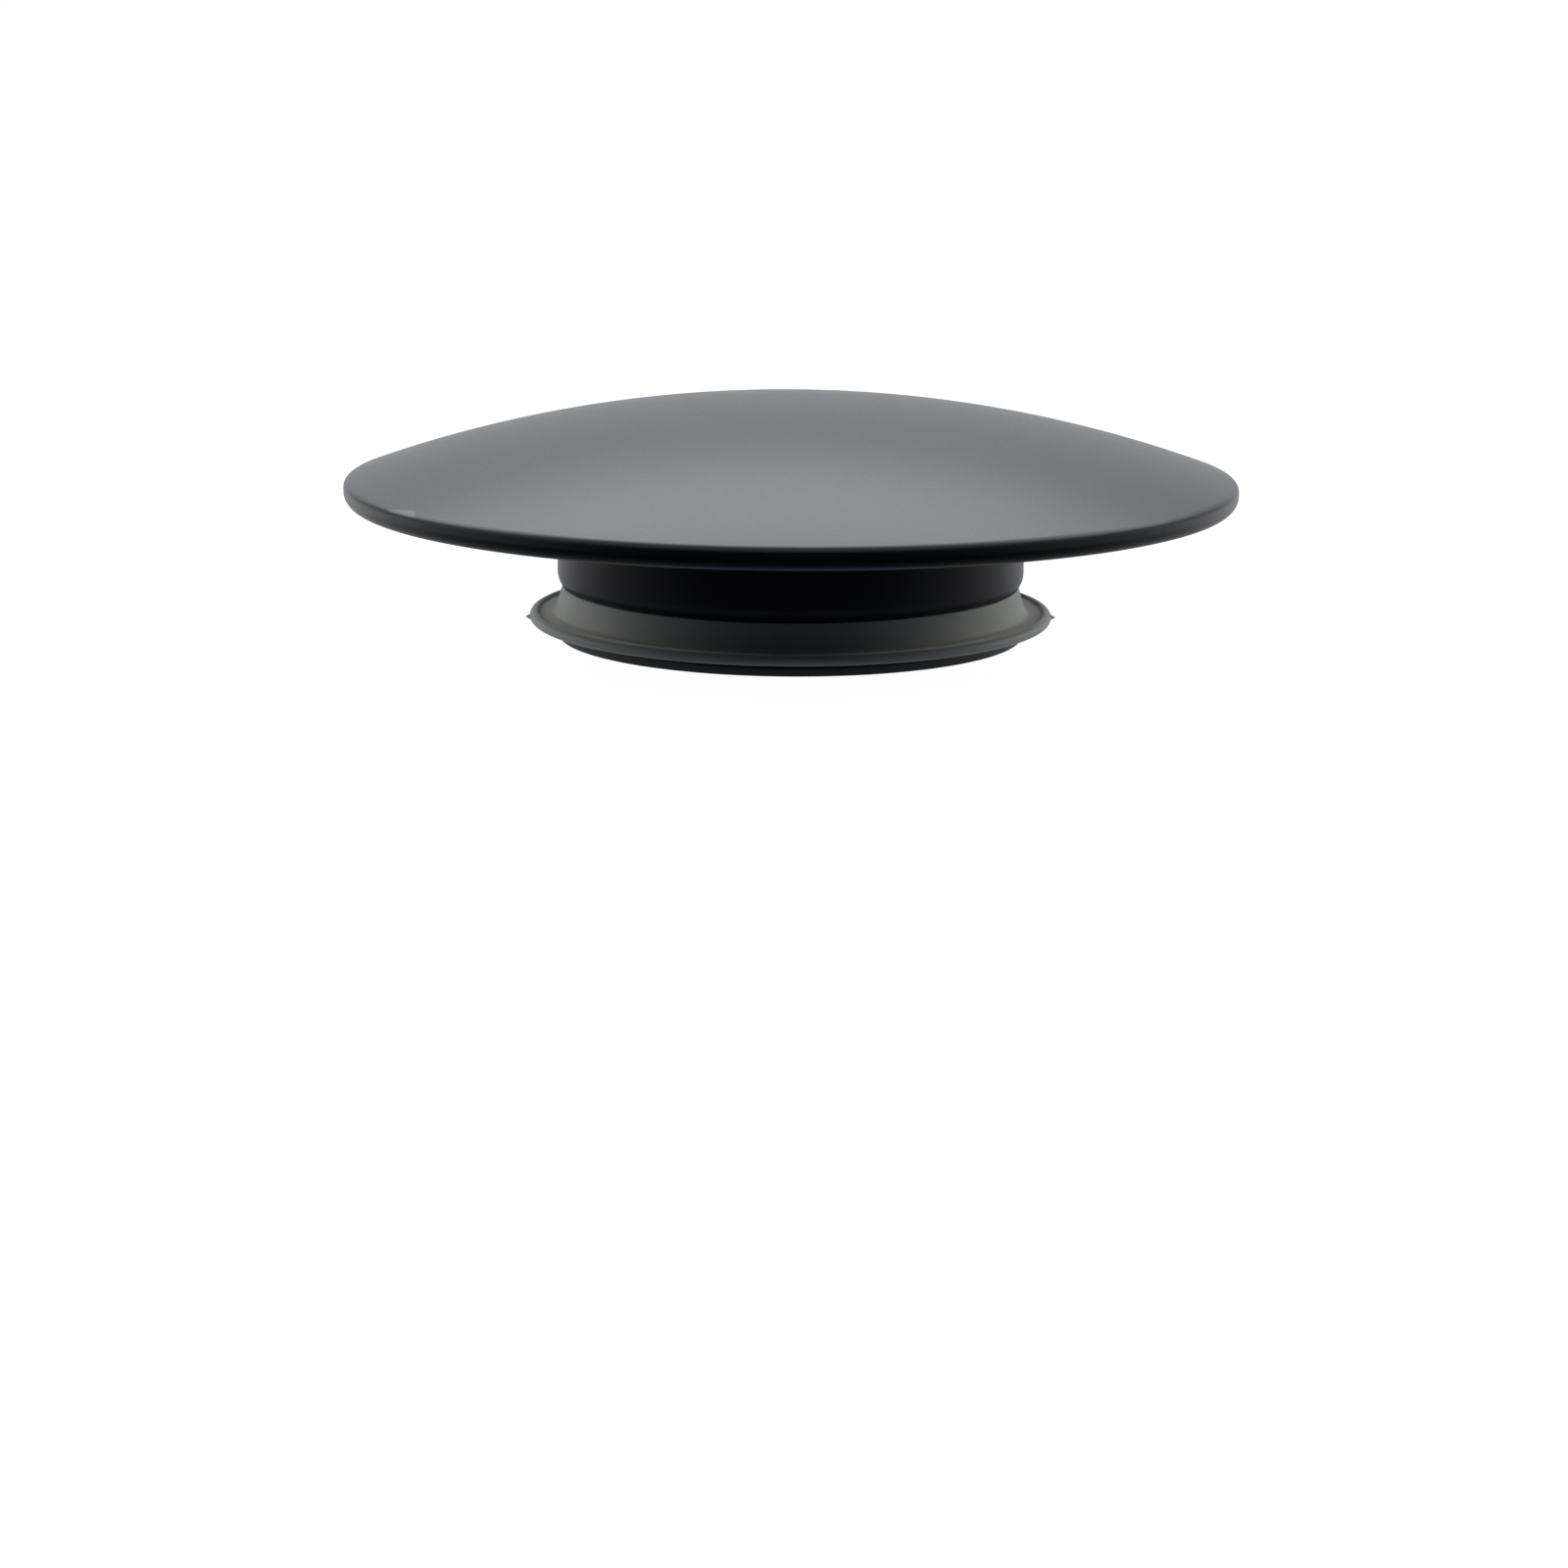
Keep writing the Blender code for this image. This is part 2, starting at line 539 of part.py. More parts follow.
def make_core_foot():
    """Moulded foot with the post that the spring goes round and that holds the threaded insert."""
    bore_end = POST_TOP - POST_CROWN
    profile = [(0, POST_TOP), (POST_R, POST_TOP), (POST_R, FOOT_T), (FOOT_R, FOOT_T), (FOOT_R, 0)]
    profile += [(INSERT_HOLE_R, 0), (INSERT_HOLE_R, bore_end), (0, bore_end)]
    foot = turned("core_foot", profile, CORE_STEPS, closed=False)
    top = FOOT_T + OVERRUN
    head_end = SCREW_RECESS + SCREW_HEAD_T + RUNNING_GAP
    stepped = [(0, top), (SCREW_HOLE_R, top), (SCREW_HOLE_R, head_end), (HEAD_HOLE_R, head_end)]
    stepped += [(HEAD_HOLE_R, -OVERRUN), (0, -OVERRUN)]
    for angle in RIB_ANGLES:
        lobe = radial_box("foot_lobe", SCREW_CIRCLE_R, RIB_R, RIB_W, 0, FOOT_T, angle)
        boolean(foot, lobe, "UNION")
    for angle in RIB_ANGLES:
        place = (*on_circle(SCREW_CIRCLE_R, angle), 0)
        hole = turned("tie_hole", stepped, PIN_STEPS, closed=False, place=place)
        hole.data.transform(Matrix.Rotation(angle + math.pi / PIN_STEPS, 4, "Z"))
        boolean(foot, hole)
    complete(foot, finish("foot_acetal", (0.10, 0.10, 0.105), 0.45, 0))


def make_threaded_insert():
    """Brass insert with the thread for the waste's stud, open at the foot."""
    top = POST_TOP - POST_CROWN - SEAT_GAP
    bottom = INSERT_RECESS
    profile = [(INSERT_R, top), (INSERT_R, bottom), (INSERT_BORE_R + INSERT_CHAMFER, bottom)]
    profile += [(INSERT_BORE_R, bottom + INSERT_CHAMFER), (INSERT_BORE_R, top)]
    insert = turned("threaded_insert", profile, CORE_STEPS)
    complete(insert, finish("insert_brass", (0.72, 0.53, 0.25), 0.3, 1))


def helical_slot(start):
    """What one pin sweeps in the barrel's wall, with its clearance: a block carried up a helix."""
    inner = BARREL_BORE_R - OVERRUN
    outer = BARREL_R + OVERRUN
    turn = ROTOR_TURN + OVERTURN + 2 * SLOT_MARGIN
    low = PIN_HEIGHT - OVERTRAVEL - SLOT_MARGIN / TURN_PER_LIFT
    shape = bmesh.new()
    ends = [(inner, -SLOT_HALF_H), (outer, -SLOT_HALF_H), (outer, SLOT_HALF_H), (inner, SLOT_HALF_H)]
    corners = [shape.verts.new((radius, 0, low + height)) for radius, height in ends]
    face = shape.faces.new(corners)
    rise = Vector((0, 0, turn / TURN_PER_LIFT / SLOT_STEPS))
    bmesh.ops.spin(shape, geom=[face, *face.edges, *face.verts], cent=(0, 0, 0), axis=(0, 0, 1),
                   dvec=rise, angle=turn, steps=SLOT_STEPS, use_duplicate=False)
    bmesh.ops.recalc_face_normals(shape, faces=shape.faces)
    shape.transform(Matrix.Rotation(start - OVERTURN - SLOT_MARGIN, 4, "Z"))
    mesh = bpy.data.meshes.new("helical_slot")
    shape.to_mesh(mesh)
    shape.free()
    return object_of("helical_slot", mesh)


def make_cam_barrel():
    """Moulded barrel with a slot for each rotor pin, and ribs outside that key into the plug body."""
    barrel = ribbed_ring("cam_barrel", BARREL_R, BARREL_BORE_R, BARREL_BOTTOM, BARREL_TOP)
    for angle in PIN_ANGLES:
        boolean(barrel, helical_slot(angle))
    complete(barrel, finish("barrel_acetal", (0.13, 0.13, 0.135), 0.45, 0))


def make_barrel_top_ring():
    """Ring that closes the barrel, guides the plunger and stops the rotor at the top."""
    ring = ribbed_ring("barrel_top_ring", FOOT_R, RING_BORE_R, TOP_RING_BOTTOM, TOP_RING_TOP)
    complete(ring, finish("ring_acetal", (0.10, 0.10, 0.105), 0.45, 0))


def make_tie_screws():
    """Three long screws with cross recesses that hold the foot, the barrel and its ring together."""
    steel = finish("screw_steel", (0.62, 0.62, 0.63), 0.28, 1)
    tip = TOP_RING_TOP - SCREW_RECESS
    under_head = SCREW_RECESS + SCREW_HEAD_T
    profile = [(0, tip), (SCREW_R - SCREW_POINT, tip), (SCREW_R, tip - SCREW_POINT)]
    profile += [(SCREW_R, under_head), (SCREW_HEAD_R, under_head)]
    profile += [(SCREW_HEAD_R, SCREW_RECESS), (0, SCREW_RECESS)]
    inner = SCREW_CIRCLE_R - DRIVE_LENGTH / 2
    outer = SCREW_CIRCLE_R + DRIVE_LENGTH / 2
    floor = SCREW_RECESS + DRIVE_DEPTH
    for number, angle in enumerate(RIB_ANGLES, 1):
        place = (*on_circle(SCREW_CIRCLE_R, angle), 0)
        screw = turned(f"tie_screw_{number}", profile, PIN_STEPS, closed=False, place=place)
        boolean(screw, radial_box("drive_slot", inner, outer, DRIVE_W, -OVERRUN, floor, angle))
        side = (SCREW_CIRCLE_R - DRIVE_W / 2, SCREW_CIRCLE_R + DRIVE_W / 2)
        boolean(screw, radial_box("drive_slot", *side, DRIVE_LENGTH, -OVERRUN, floor, angle))
        complete(screw, steel)


def make_plunger(parent):
    """Moulded sleeve that slides in the barrel, closed at the top where the stud clamps it."""
    profile = [(PLUNGER_R, PLUNGER_TOP), (PLUNGER_R, SHOULDER), (TUBE_R, SHOULDER), (TUBE_R, TUBE_END)]
    profile += [(TUBE_BORE_R, TUBE_END), (TUBE_BORE_R, PLUNGER_UNDER), (STUD_HOLE_R, PLUNGER_UNDER)]
    profile += [(STUD_HOLE_R, PLUNGER_TOP)]
    plunger = turned("plunger", profile, CORE_STEPS)
    complete(plunger, finish("plunger_acetal", (0.75, 0.74, 0.70), 0.45, 0), parent)


def make_rotor_clip(parent):
    """Open steel ring pressed on the plunger's end, under the rotor."""
    top = CLIP_BOTTOM + CLIP_T
    profile = [(CLIP_R, top), (CLIP_R, CLIP_BOTTOM), (ROTOR_BORE_R, CLIP_BOTTOM), (ROTOR_BORE_R, top)]
    clip = turned("rotor_clip", profile, CORE_STEPS)
    reach = CLIP_R + OVERRUN
    mouth = radial_box("clip_mouth", 0, reach, CLIP_MOUTH, CLIP_BOTTOM - OVERRUN, top + OVERRUN, 0)
    complete(boolean(clip, mouth), finish("spring_steel", (0.50, 0.50, 0.52), 0.32, 1), parent)


def make_thrust_washer(parent):
    """Slippery ring between the rotor and the plunger's shoulder."""
    top = THRUST_BOTTOM + THRUST_T
    profile = [(PLUNGER_R, top), (PLUNGER_R, THRUST_BOTTOM)]
    profile += [(ROTOR_BORE_R, THRUST_BOTTOM), (ROTOR_BORE_R, top)]
    washer = turned("thrust_washer", profile, CORE_STEPS)
    complete(washer, finish("thrust_ptfe", (0.82, 0.82, 0.80), 0.4, 0), parent)


def make_rotor(parent):
    """Ring that turns on the plunger, with three pins that run in the barrel's slots."""
    top = ROTOR_BOTTOM + ROTOR_T
    bottom = ROTOR_BOTTOM
    profile = [(ROTOR_R, top), (ROTOR_R, bottom), (ROTOR_BORE_R, bottom), (ROTOR_BORE_R, top)]
    rotor = turned("cam_rotor", profile, CORE_STEPS)
    steel = finish("pin_steel", (0.58, 0.58, 0.60), 0.25, 1)
    hole_r = PIN_R + PIN_CLEARANCE
    hole_root = PIN_INNER_R - PIN_CLEARANCE
    for number, angle in enumerate(PIN_ANGLES, 1):
        hole_end = ROTOR_R + OVERRUN
        hole = radial_cylinder("pin_hole", hole_r, hole_root, hole_end, PIN_HEIGHT, angle, PIN_STEPS)
        boolean(rotor, hole)
        name = f"rotor_pin_{number}"
        pin = radial_cylinder(name, PIN_R, PIN_INNER_R, PIN_OUTER_R, PIN_HEIGHT, angle, PIN_STEPS)
        complete(pin, steel, parent)
    complete(rotor, finish("rotor_acetal", (0.70, 0.69, 0.64), 0.45, 0), parent)


def spring_path():
    """Middle of the spring's wire, from its lower end to its upper end."""
    low = SPRING_BOTTOM + WIRE_R
    high = SPRING_TOP - WIRE_R
    count = round(SPRING_TURNS * SPRING_POINTS)
    path = []
    for step in range(count + 1):
        share = step / count
        turn = 2 * math.pi * SPRING_TURNS * share
        path.append((SPRING_R * math.cos(turn), SPRING_R * math.sin(turn), low + (high - low) * share))
    return path


def least_gap(path, points_apart):
    """Least gap between lengths of the wire that are at least this many points apart."""
    centres = [Vector(point) for point in path]
    near = [(a - b).length for i, a in enumerate(centres) for b in centres[i + points_apart:]]
    return min(near) - 2 * WIRE_R


def make_main_spring():
    """Round-wire compression spring, wound as one helix round the post."""
    path = spring_path()
    curve = bpy.data.curves.new("main_spring", "CURVE")
    curve.dimensions = "3D"
    curve.bevel_depth = WIRE_R
    curve.bevel_resolution = 1
    curve.use_fill_caps = True
    spline = curve.splines.new("POLY")
    spline.points.add(len(path) - 1)
    for point, place in zip(spline.points, path):
        point.co = (*place, 1)
    spring = object_of("main_spring", mesh_of_curve("wound_wire", curve))
    complete(spring, finish("spring_wire", (0.56, 0.56, 0.58), 0.25, 1))
    print(f"least gap of main_spring to itself: {least_gap(path, SPRING_POINTS // 2) / MM:.2f} mm")


def make_spring_seat(parent):
    """Flat steel washer that the spring pushes up against, inside the plunger."""
    top = SPRING_SEAT_TOP
    bottom = top - SPRING_SEAT_T
    outer = TUBE_BORE_R - RUNNING_GAP
    bore = SPRING_R - WIRE_R - SPRING_SEAT_LEDGE
    profile = [(outer, top), (outer, bottom), (bore, bottom), (bore, top)]
    seat = turned("spring_seat", profile, CORE_STEPS)
    complete(seat, finish("seat_steel", (0.55, 0.55, 0.56), 0.3, 1), parent)


cap_slide = empty("cap_slide")
rotor_turn = empty("rotor_turn", cap_slide)

make_core_foot()
make_threaded_insert()
make_cam_barrel()
make_barrel_top_ring()
make_tie_screws()
make_main_spring()

make_dome_cap(cap_slide)
make_cap_fixings(cap_slide)
make_cap_gasket(cap_slide)
make_plug_body(cap_slide)
make_lip_seal(cap_slide)
make_seal_retainer(cap_slide)
make_plunger(cap_slide)
make_spring_seat(cap_slide)
make_thrust_washer(cap_slide)
make_rotor_clip(cap_slide)

make_rotor(rotor_turn)
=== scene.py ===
"""Pop-up drain cover of a basin: the finished look of every piece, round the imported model."""

import math

import bpy
import bmesh
from mathutils import Matrix, Vector


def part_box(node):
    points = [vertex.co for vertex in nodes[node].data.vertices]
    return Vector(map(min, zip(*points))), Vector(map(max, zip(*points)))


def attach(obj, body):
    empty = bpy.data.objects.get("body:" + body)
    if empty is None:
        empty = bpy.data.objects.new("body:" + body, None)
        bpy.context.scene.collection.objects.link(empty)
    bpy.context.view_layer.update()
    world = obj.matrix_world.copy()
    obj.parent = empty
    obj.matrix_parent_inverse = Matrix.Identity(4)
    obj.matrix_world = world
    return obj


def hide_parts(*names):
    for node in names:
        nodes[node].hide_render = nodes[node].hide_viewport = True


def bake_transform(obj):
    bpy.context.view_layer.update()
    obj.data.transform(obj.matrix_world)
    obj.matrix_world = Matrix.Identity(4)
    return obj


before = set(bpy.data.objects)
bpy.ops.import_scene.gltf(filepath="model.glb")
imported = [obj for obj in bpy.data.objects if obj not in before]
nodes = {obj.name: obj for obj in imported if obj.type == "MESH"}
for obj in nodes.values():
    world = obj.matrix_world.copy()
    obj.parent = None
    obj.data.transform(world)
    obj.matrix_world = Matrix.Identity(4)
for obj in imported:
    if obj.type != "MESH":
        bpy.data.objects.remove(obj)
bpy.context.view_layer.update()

MM = 0.001


# Domed cap
# A zinc casting: a shallow dome with a full round edge, and a boss inside for its stud. It is
# sprayed with satin black lacquer, which reflects softly and goes almost white at a low angle.
CAP_RISE = 6.55 * MM  # apex above the middle of the rim
CAP_WALL = 1.92 * MM
EDGE_TOP_R = 0.55 * MM  # the edge is rounder below than above
CAP_TURN_STEPS = 360
BOSS_R = 5.0 * MM
BOSS_FILLET = 0.8 * MM
STUD_HOLE_R = 2.7 * MM
STUD_HOLE_CROWN = 1.2 * MM  # metal above the stud's hole
SEAT_GAP = 0.3 * MM
EDGE_BREAK = 0.08 * MM  # how round a machined or moulded edge is
MERGE = 0.001 * MM
CREASE = math.radians(35)  # faces that meet at more than this keep a sharp edge

LACQUER = "#0a0d14"
LACQUER_WORN = "#4a4b4d"
LACQUER_DEPTH = 0.004 * MM  # of the orange peel, and of the nibs on it
ORANGE_PEEL = 1.6 * MM
LACQUER_NIB = 0.30 * MM  # really about 0.1 mm, drawn coarser so that it shows
KNOCK_SIZE = 0.9 * MM
KNOCK_FROM = 0.66  # level of the noise where a knock starts, so that knocks are few
KNOCK_FULL = 0.74
KNOCK_INNER_R = 31.9 * MM
KNOCK_OUTER_R = 32.9 * MM
KNOCK_MATT = 0.3  # roughness that a knock adds
SCUFF_SIDE = (-math.sqrt(0.5), -math.sqrt(0.5), 0)  # the one scuff that shows from in front
SCUFF_OUT = 31.88 * MM  # it is a flat knock across the edge, this far from the axis
SCUFF_END_X = -26.0 * MM
SCUFF_LOW = 11.50 * MM
SCUFF_SOFT = 0.12 * MM
SCUFF_PALE = "#484b4b"


def linear(colour):
    """An sRGB hex colour as the linear red, green, blue and alpha that a shader takes."""
    shares = [int(colour[start:start + 2], 16) / 255 for start in (1, 3, 5)]
    return (*(s / 12.92 if s <= 0.04045 else ((s + 0.055) / 1.055) ** 2.4 for s in shares), 1)


def add(tree, kind, inputs=None, **settings):
    """Adds a node: its own settings by name, and each input's value or the socket it comes from."""
    made = tree.nodes.new(kind)
    for name, value in settings.items():
        setattr(made, name, value)
    for name, value in (inputs or {}).items():
        if isinstance(value, bpy.types.NodeSocket):
            tree.links.new(value, made.inputs[name])
        else:
            made.inputs[name].default_value = value
    return made


def finish_named(name, colour, constants):
    """A new material: its tree, its shader and the point of the piece that is being shaded."""
    material = bpy.data.materials.new(name)
    material.use_nodes = True
    tree = material.node_tree
    shader = tree.nodes["Principled BSDF"]
    shader.inputs["Base Color"].default_value = linear(colour)
    for quality, value in constants.items():
        shader.inputs[quality].default_value = value
    place = add(tree, "ShaderNodeTexCoord").outputs["Object"]
    return material, tree, shader, place


def arc(centre_r, centre_z, radius, start, end, steps):
    """Points of a profile on an arc. Angles are in degrees, from outwards towards up."""
    turns = [math.radians(start + (end - start) * step / steps) for step in range(steps + 1)]
    return [(centre_r + radius * math.cos(t), centre_z + radius * math.sin(t)) for t in turns]


def rounded(corners, steps=5):
    """A closed profile through corners, each given as its radius, height and rounding."""
    outline = []
    for number, (radius, height, fillet) in enumerate(corners):
        here = Vector((radius, height))
        if not fillet:
            outline.append(tuple(here))
            continue
        before = (Vector(corners[number - 1][:2]) - here).normalized()
        after = (Vector(corners[(number + 1) % len(corners)][:2]) - here).normalized()
        half = before.angle(after) / 2
        centre = here + (before + after).normalized() * fillet / math.sin(half)
        spoke = here + before * fillet / math.tan(half) - centre
        turn = spoke.angle_signed(here + after * fillet / math.tan(half) - centre)
        for step in range(steps + 1):
            share = -turn * step / steps
            outline.append(tuple(centre + Matrix.Rotation(share, 2) @ spoke))
    return outline + outline[:1]


def socket(tree, name, kind, value=None):
    """A named input of a tree of geometry nodes."""
    made = tree.interface.new_socket(name, in_out="INPUT", socket_type=kind)
    if value is not None:
        made.default_value = value


def growing_tree(name):
    """A new tree of geometry nodes that gives a mesh."""
    tree = bpy.data.node_groups.new(name, "GeometryNodeTree")
    tree.interface.new_socket("Geometry", in_out="OUTPUT", socket_type="NodeSocketGeometry")
    return tree


def completed(tree, geometry, material):
    """The tree with its end: what it made becomes real and gets its material."""
    real = add(tree, "GeometryNodeRealizeInstances", {"Geometry": geometry})
    dressed = add(tree, "GeometryNodeSetMaterial", {"Geometry": real.outputs["Geometry"],
                                                    "Material": material})
    add(tree, "NodeGroupOutput", {"Geometry": dressed.outputs["Geometry"]})
    return tree


def lathe_tree():
    """Turns a profile about Z: a grid whose rows are the profile's points, bent into a ring."""
    tree = growing_tree("lathe")
    socket(tree, "Profile", "NodeSocketGeometry")
    socket(tree, "Steps", "NodeSocketInt", 180)
    socket(tree, "Merge Distance", "NodeSocketFloat", MERGE)
    socket(tree, "Material", "NodeSocketMaterial")
    given = add(tree, "NodeGroupInput").outputs
    size = add(tree, "GeometryNodeAttributeDomainSize", {"Geometry": given["Profile"]})
    columns = add(tree, "ShaderNodeMath", {0: given["Steps"], 1: 1.0}, operation="ADD").outputs[0]
    grid = add(tree, "GeometryNodeMeshGrid", {"Vertices X": size.outputs["Point Count"],
                                              "Vertices Y": columns})
    index = add(tree, "GeometryNodeInputIndex").outputs["Index"]
    share = add(tree, "ShaderNodeMath", {0: index, 1: columns}, operation="DIVIDE").outputs[0]
    row = add(tree, "ShaderNodeMath", {0: share}, operation="FLOOR").outputs[0]
    column = add(tree, "ShaderNodeMath", {0: index, 1: columns}, operation="MODULO").outputs[0]
    step = add(tree, "ShaderNodeMath", {0: math.tau, 1: given["Steps"]},
               operation="DIVIDE").outputs[0]
    angle = add(tree, "ShaderNodeMath", {0: column, 1: step}, operation="MULTIPLY").outputs[0]
    position = add(tree, "GeometryNodeInputPosition").outputs["Position"]
    sample = add(tree, "GeometryNodeSampleIndex", {"Geometry": given["Profile"],
                                                   "Value": position, "Index": row},
                 data_type="FLOAT_VECTOR")
    turned_point = add(tree, "ShaderNodeVectorRotate", {"Vector": sample.outputs[0],
                                                        "Angle": angle}, rotation_type="Z_AXIS")
    bent = add(tree, "GeometryNodeSetPosition", {"Geometry": grid.outputs["Mesh"],
                                                 "Position": turned_point.outputs["Vector"]})
    closed = add(tree, "GeometryNodeMergeByDistance", {"Geometry": bent.outputs["Geometry"],
                                                       "Distance": given["Merge Distance"]})
    smooth = add(tree, "GeometryNodeSetShadeSmooth", {"Geometry": closed.outputs["Geometry"]})
    return completed(tree, smooth.outputs["Geometry"], given["Material"])


def grown(obj, tree, **values):
    """The object with its mesh replaced by what a tree of geometry nodes makes of it."""
    grower = obj.modifiers.new("grow", "NODES")
    grower.node_group = tree
    for item in tree.interface.items_tree:
        if item.in_out == "INPUT" and item.name.replace(" ", "_") in values:
            grower[item.identifier] = values[item.name.replace(" ", "_")]
    graph = bpy.context.evaluated_depsgraph_get()
    mesh = bpy.data.meshes.new_from_object(obj.evaluated_get(graph))
    obj.modifiers.clear()
    obj.data = mesh
    mesh.set_sharp_from_angle(angle=CREASE)
    return obj


def in_scene(name, data):
    """A new object of the scene, at the origin."""
    obj = bpy.data.objects.new(name, data)
    bpy.context.scene.collection.objects.link(obj)
    return obj


def turned(name, profile, material, steps):
    """A new piece turned from a profile that goes down its outer side first."""
    mesh = bpy.data.meshes.new(name)
    mesh.from_pydata([(radius, 0, height) for radius, height in profile], [], [])
    return grown(in_scene(name, mesh), lathe, Steps=steps, Material=material)


def outside(tree, place, starts, ends):
    """A mask that goes from 0 to 1 between two distances from Z."""
    x_y = add(tree, "ShaderNodeVectorMath", {0: place, 1: (1, 1, 0)}, operation="MULTIPLY")
    reach = add(tree, "ShaderNodeVectorMath", {0: x_y.outputs[0]}, operation="LENGTH")
    mask = add(tree, "ShaderNodeMapRange", {"Value": reach.outputs["Value"], "From Min": starts,
                                            "From Max": ends})
    return mask.outputs["Result"]


def lacquer():
    """Satin black spray lacquer on a casting: soft reflections, faint orange peel, fine nibs in
    the spray, and a few dull scuffs where the round edge has been knocked."""
    material, tree, shader, place = finish_named("satin_black_lacquer", LACQUER, {"IOR": 1.5})
    peel = add(tree, "ShaderNodeTexNoise", {"Vector": place, "Scale": 1 / ORANGE_PEEL,
                                            "Detail": 1.0})
    nibs = add(tree, "ShaderNodeTexNoise", {"Vector": place, "Scale": 1 / LACQUER_NIB,
                                            "Detail": 3.0, "Roughness": 0.6})
    soft = add(tree, "ShaderNodeMapRange", {"Value": nibs.outputs["Fac"], "To Min": 0.30,
                                            "To Max": 0.40})
    edge = outside(tree, place, KNOCK_INNER_R, KNOCK_OUTER_R)
    knocks = add(tree, "ShaderNodeTexNoise", {"Vector": place, "Scale": 1 / KNOCK_SIZE,
                                              "Detail": 5.0, "Roughness": 0.7})
    rare = add(tree, "ShaderNodeMapRange", {"Value": knocks.outputs["Fac"],
                                            "From Min": KNOCK_FROM, "From Max": KNOCK_FULL})
    worn = add(tree, "ShaderNodeMath", {0: rare.outputs["Result"], 1: edge}, operation="MULTIPLY")
    blotched = add(tree, "ShaderNodeMix", {"Factor": worn.outputs[0], 6: linear(LACQUER),
                                           7: linear(LACQUER_WORN)}, data_type="RGBA")
    outward = add(tree, "ShaderNodeVectorMath", {0: place, 1: SCUFF_SIDE},
                  operation="DOT_PRODUCT")
    along = add(tree, "ShaderNodeSeparateXYZ", {0: place})
    scuff = 1.0
    for measure, starts, ends in (
            (outward.outputs["Value"], SCUFF_OUT, SCUFF_OUT + SCUFF_SOFT),
            (along.outputs["X"], SCUFF_END_X, SCUFF_END_X - SCUFF_SOFT),
            (along.outputs["Z"], SCUFF_LOW, SCUFF_LOW + SCUFF_SOFT)):
        inside = add(tree, "ShaderNodeMapRange", {"Value": measure, "From Min": starts,
                                                  "From Max": ends, "To Max": scuff})
        scuff = inside.outputs["Result"]
    colour = add(tree, "ShaderNodeMix", {"Factor": scuff, 6: blotched.outputs[2],
                                         7: linear(SCUFF_PALE)}, data_type="RGBA")
    rough = add(tree, "ShaderNodeMath", {0: worn.outputs[0], 1: KNOCK_MATT,
                                         2: soft.outputs["Result"]}, operation="MULTIPLY_ADD")
    waves = add(tree, "ShaderNodeBump", {"Height": peel.outputs["Fac"], "Strength": 1.0,
                                         "Distance": LACQUER_DEPTH})
    grain = add(tree, "ShaderNodeBump", {"Height": nibs.outputs["Fac"], "Strength": 1.0,
                                         "Distance": LACQUER_DEPTH,
                                         "Normal": waves.outputs["Normal"]})
    tree.links.new(colour.outputs[2], shader.inputs["Base Color"])
    tree.links.new(rough.outputs[0], shader.inputs["Roughness"])
    tree.links.new(grain.outputs["Normal"], shader.inputs["Normal"])
    return material


lathe = lathe_tree()
cap_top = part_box("dome_cap")[1].z
cap_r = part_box("dome_cap")[1].x
plug_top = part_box("plug_body")[1].z
edge_r = CAP_WALL / 2
rim_r = cap_r - edge_r
rim_height = cap_top - CAP_RISE
dome_rise = CAP_RISE - edge_r
dome_drop = (rim_r**2 - dome_rise**2) / (2 * dome_rise)  # the sphere's centre below the rim
dome_r = CAP_RISE + dome_drop
dome_centre = rim_height - dome_drop
rim_angle = math.degrees(math.atan2(dome_drop, rim_r))
corner_r = cap_r - EDGE_TOP_R
corner_rise = math.sqrt((dome_r - EDGE_TOP_R)**2 - corner_r**2)
corner_angle = math.degrees(math.atan2(corner_rise, corner_r))
under_r = dome_r - CAP_WALL
boss_side = BOSS_R + BOSS_FILLET
boss_under = dome_centre + math.sqrt((under_r - BOSS_FILLET)**2 - boss_side**2)
boss_angle = math.degrees(math.acos(boss_side / (under_r - BOSS_FILLET)))
stud_hole_end = cap_top - STUD_HOLE_CROWN
cap_seat = plug_top + SEAT_GAP


def under_cap(radius):
    """Height of the cap's underside at this radius."""
    return dome_centre + math.sqrt(under_r**2 - radius**2)


profile = arc(0, dome_centre, dome_r, 90, corner_angle, steps=60)
profile += arc(corner_r, dome_centre + corner_rise, EDGE_TOP_R, corner_angle, 0, steps=12)[1:]
profile += arc(rim_r, rim_height, edge_r, 0, rim_angle - 180, steps=24)
profile += arc(0, dome_centre, under_r, rim_angle, boss_angle, steps=30)[1:]
profile += arc(boss_side, boss_under, BOSS_FILLET, boss_angle, 180, steps=8)
profile += arc(BOSS_R - EDGE_BREAK, cap_seat + EDGE_BREAK, EDGE_BREAK, 0, -90, steps=4)
profile += [(STUD_HOLE_R, cap_seat), (STUD_HOLE_R, stud_hole_end), (0, stud_hole_end)]
cap = turned("domed_cap", profile, lacquer(), CAP_TURN_STEPS)
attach(cap, "cover")
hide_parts("dome_cap")


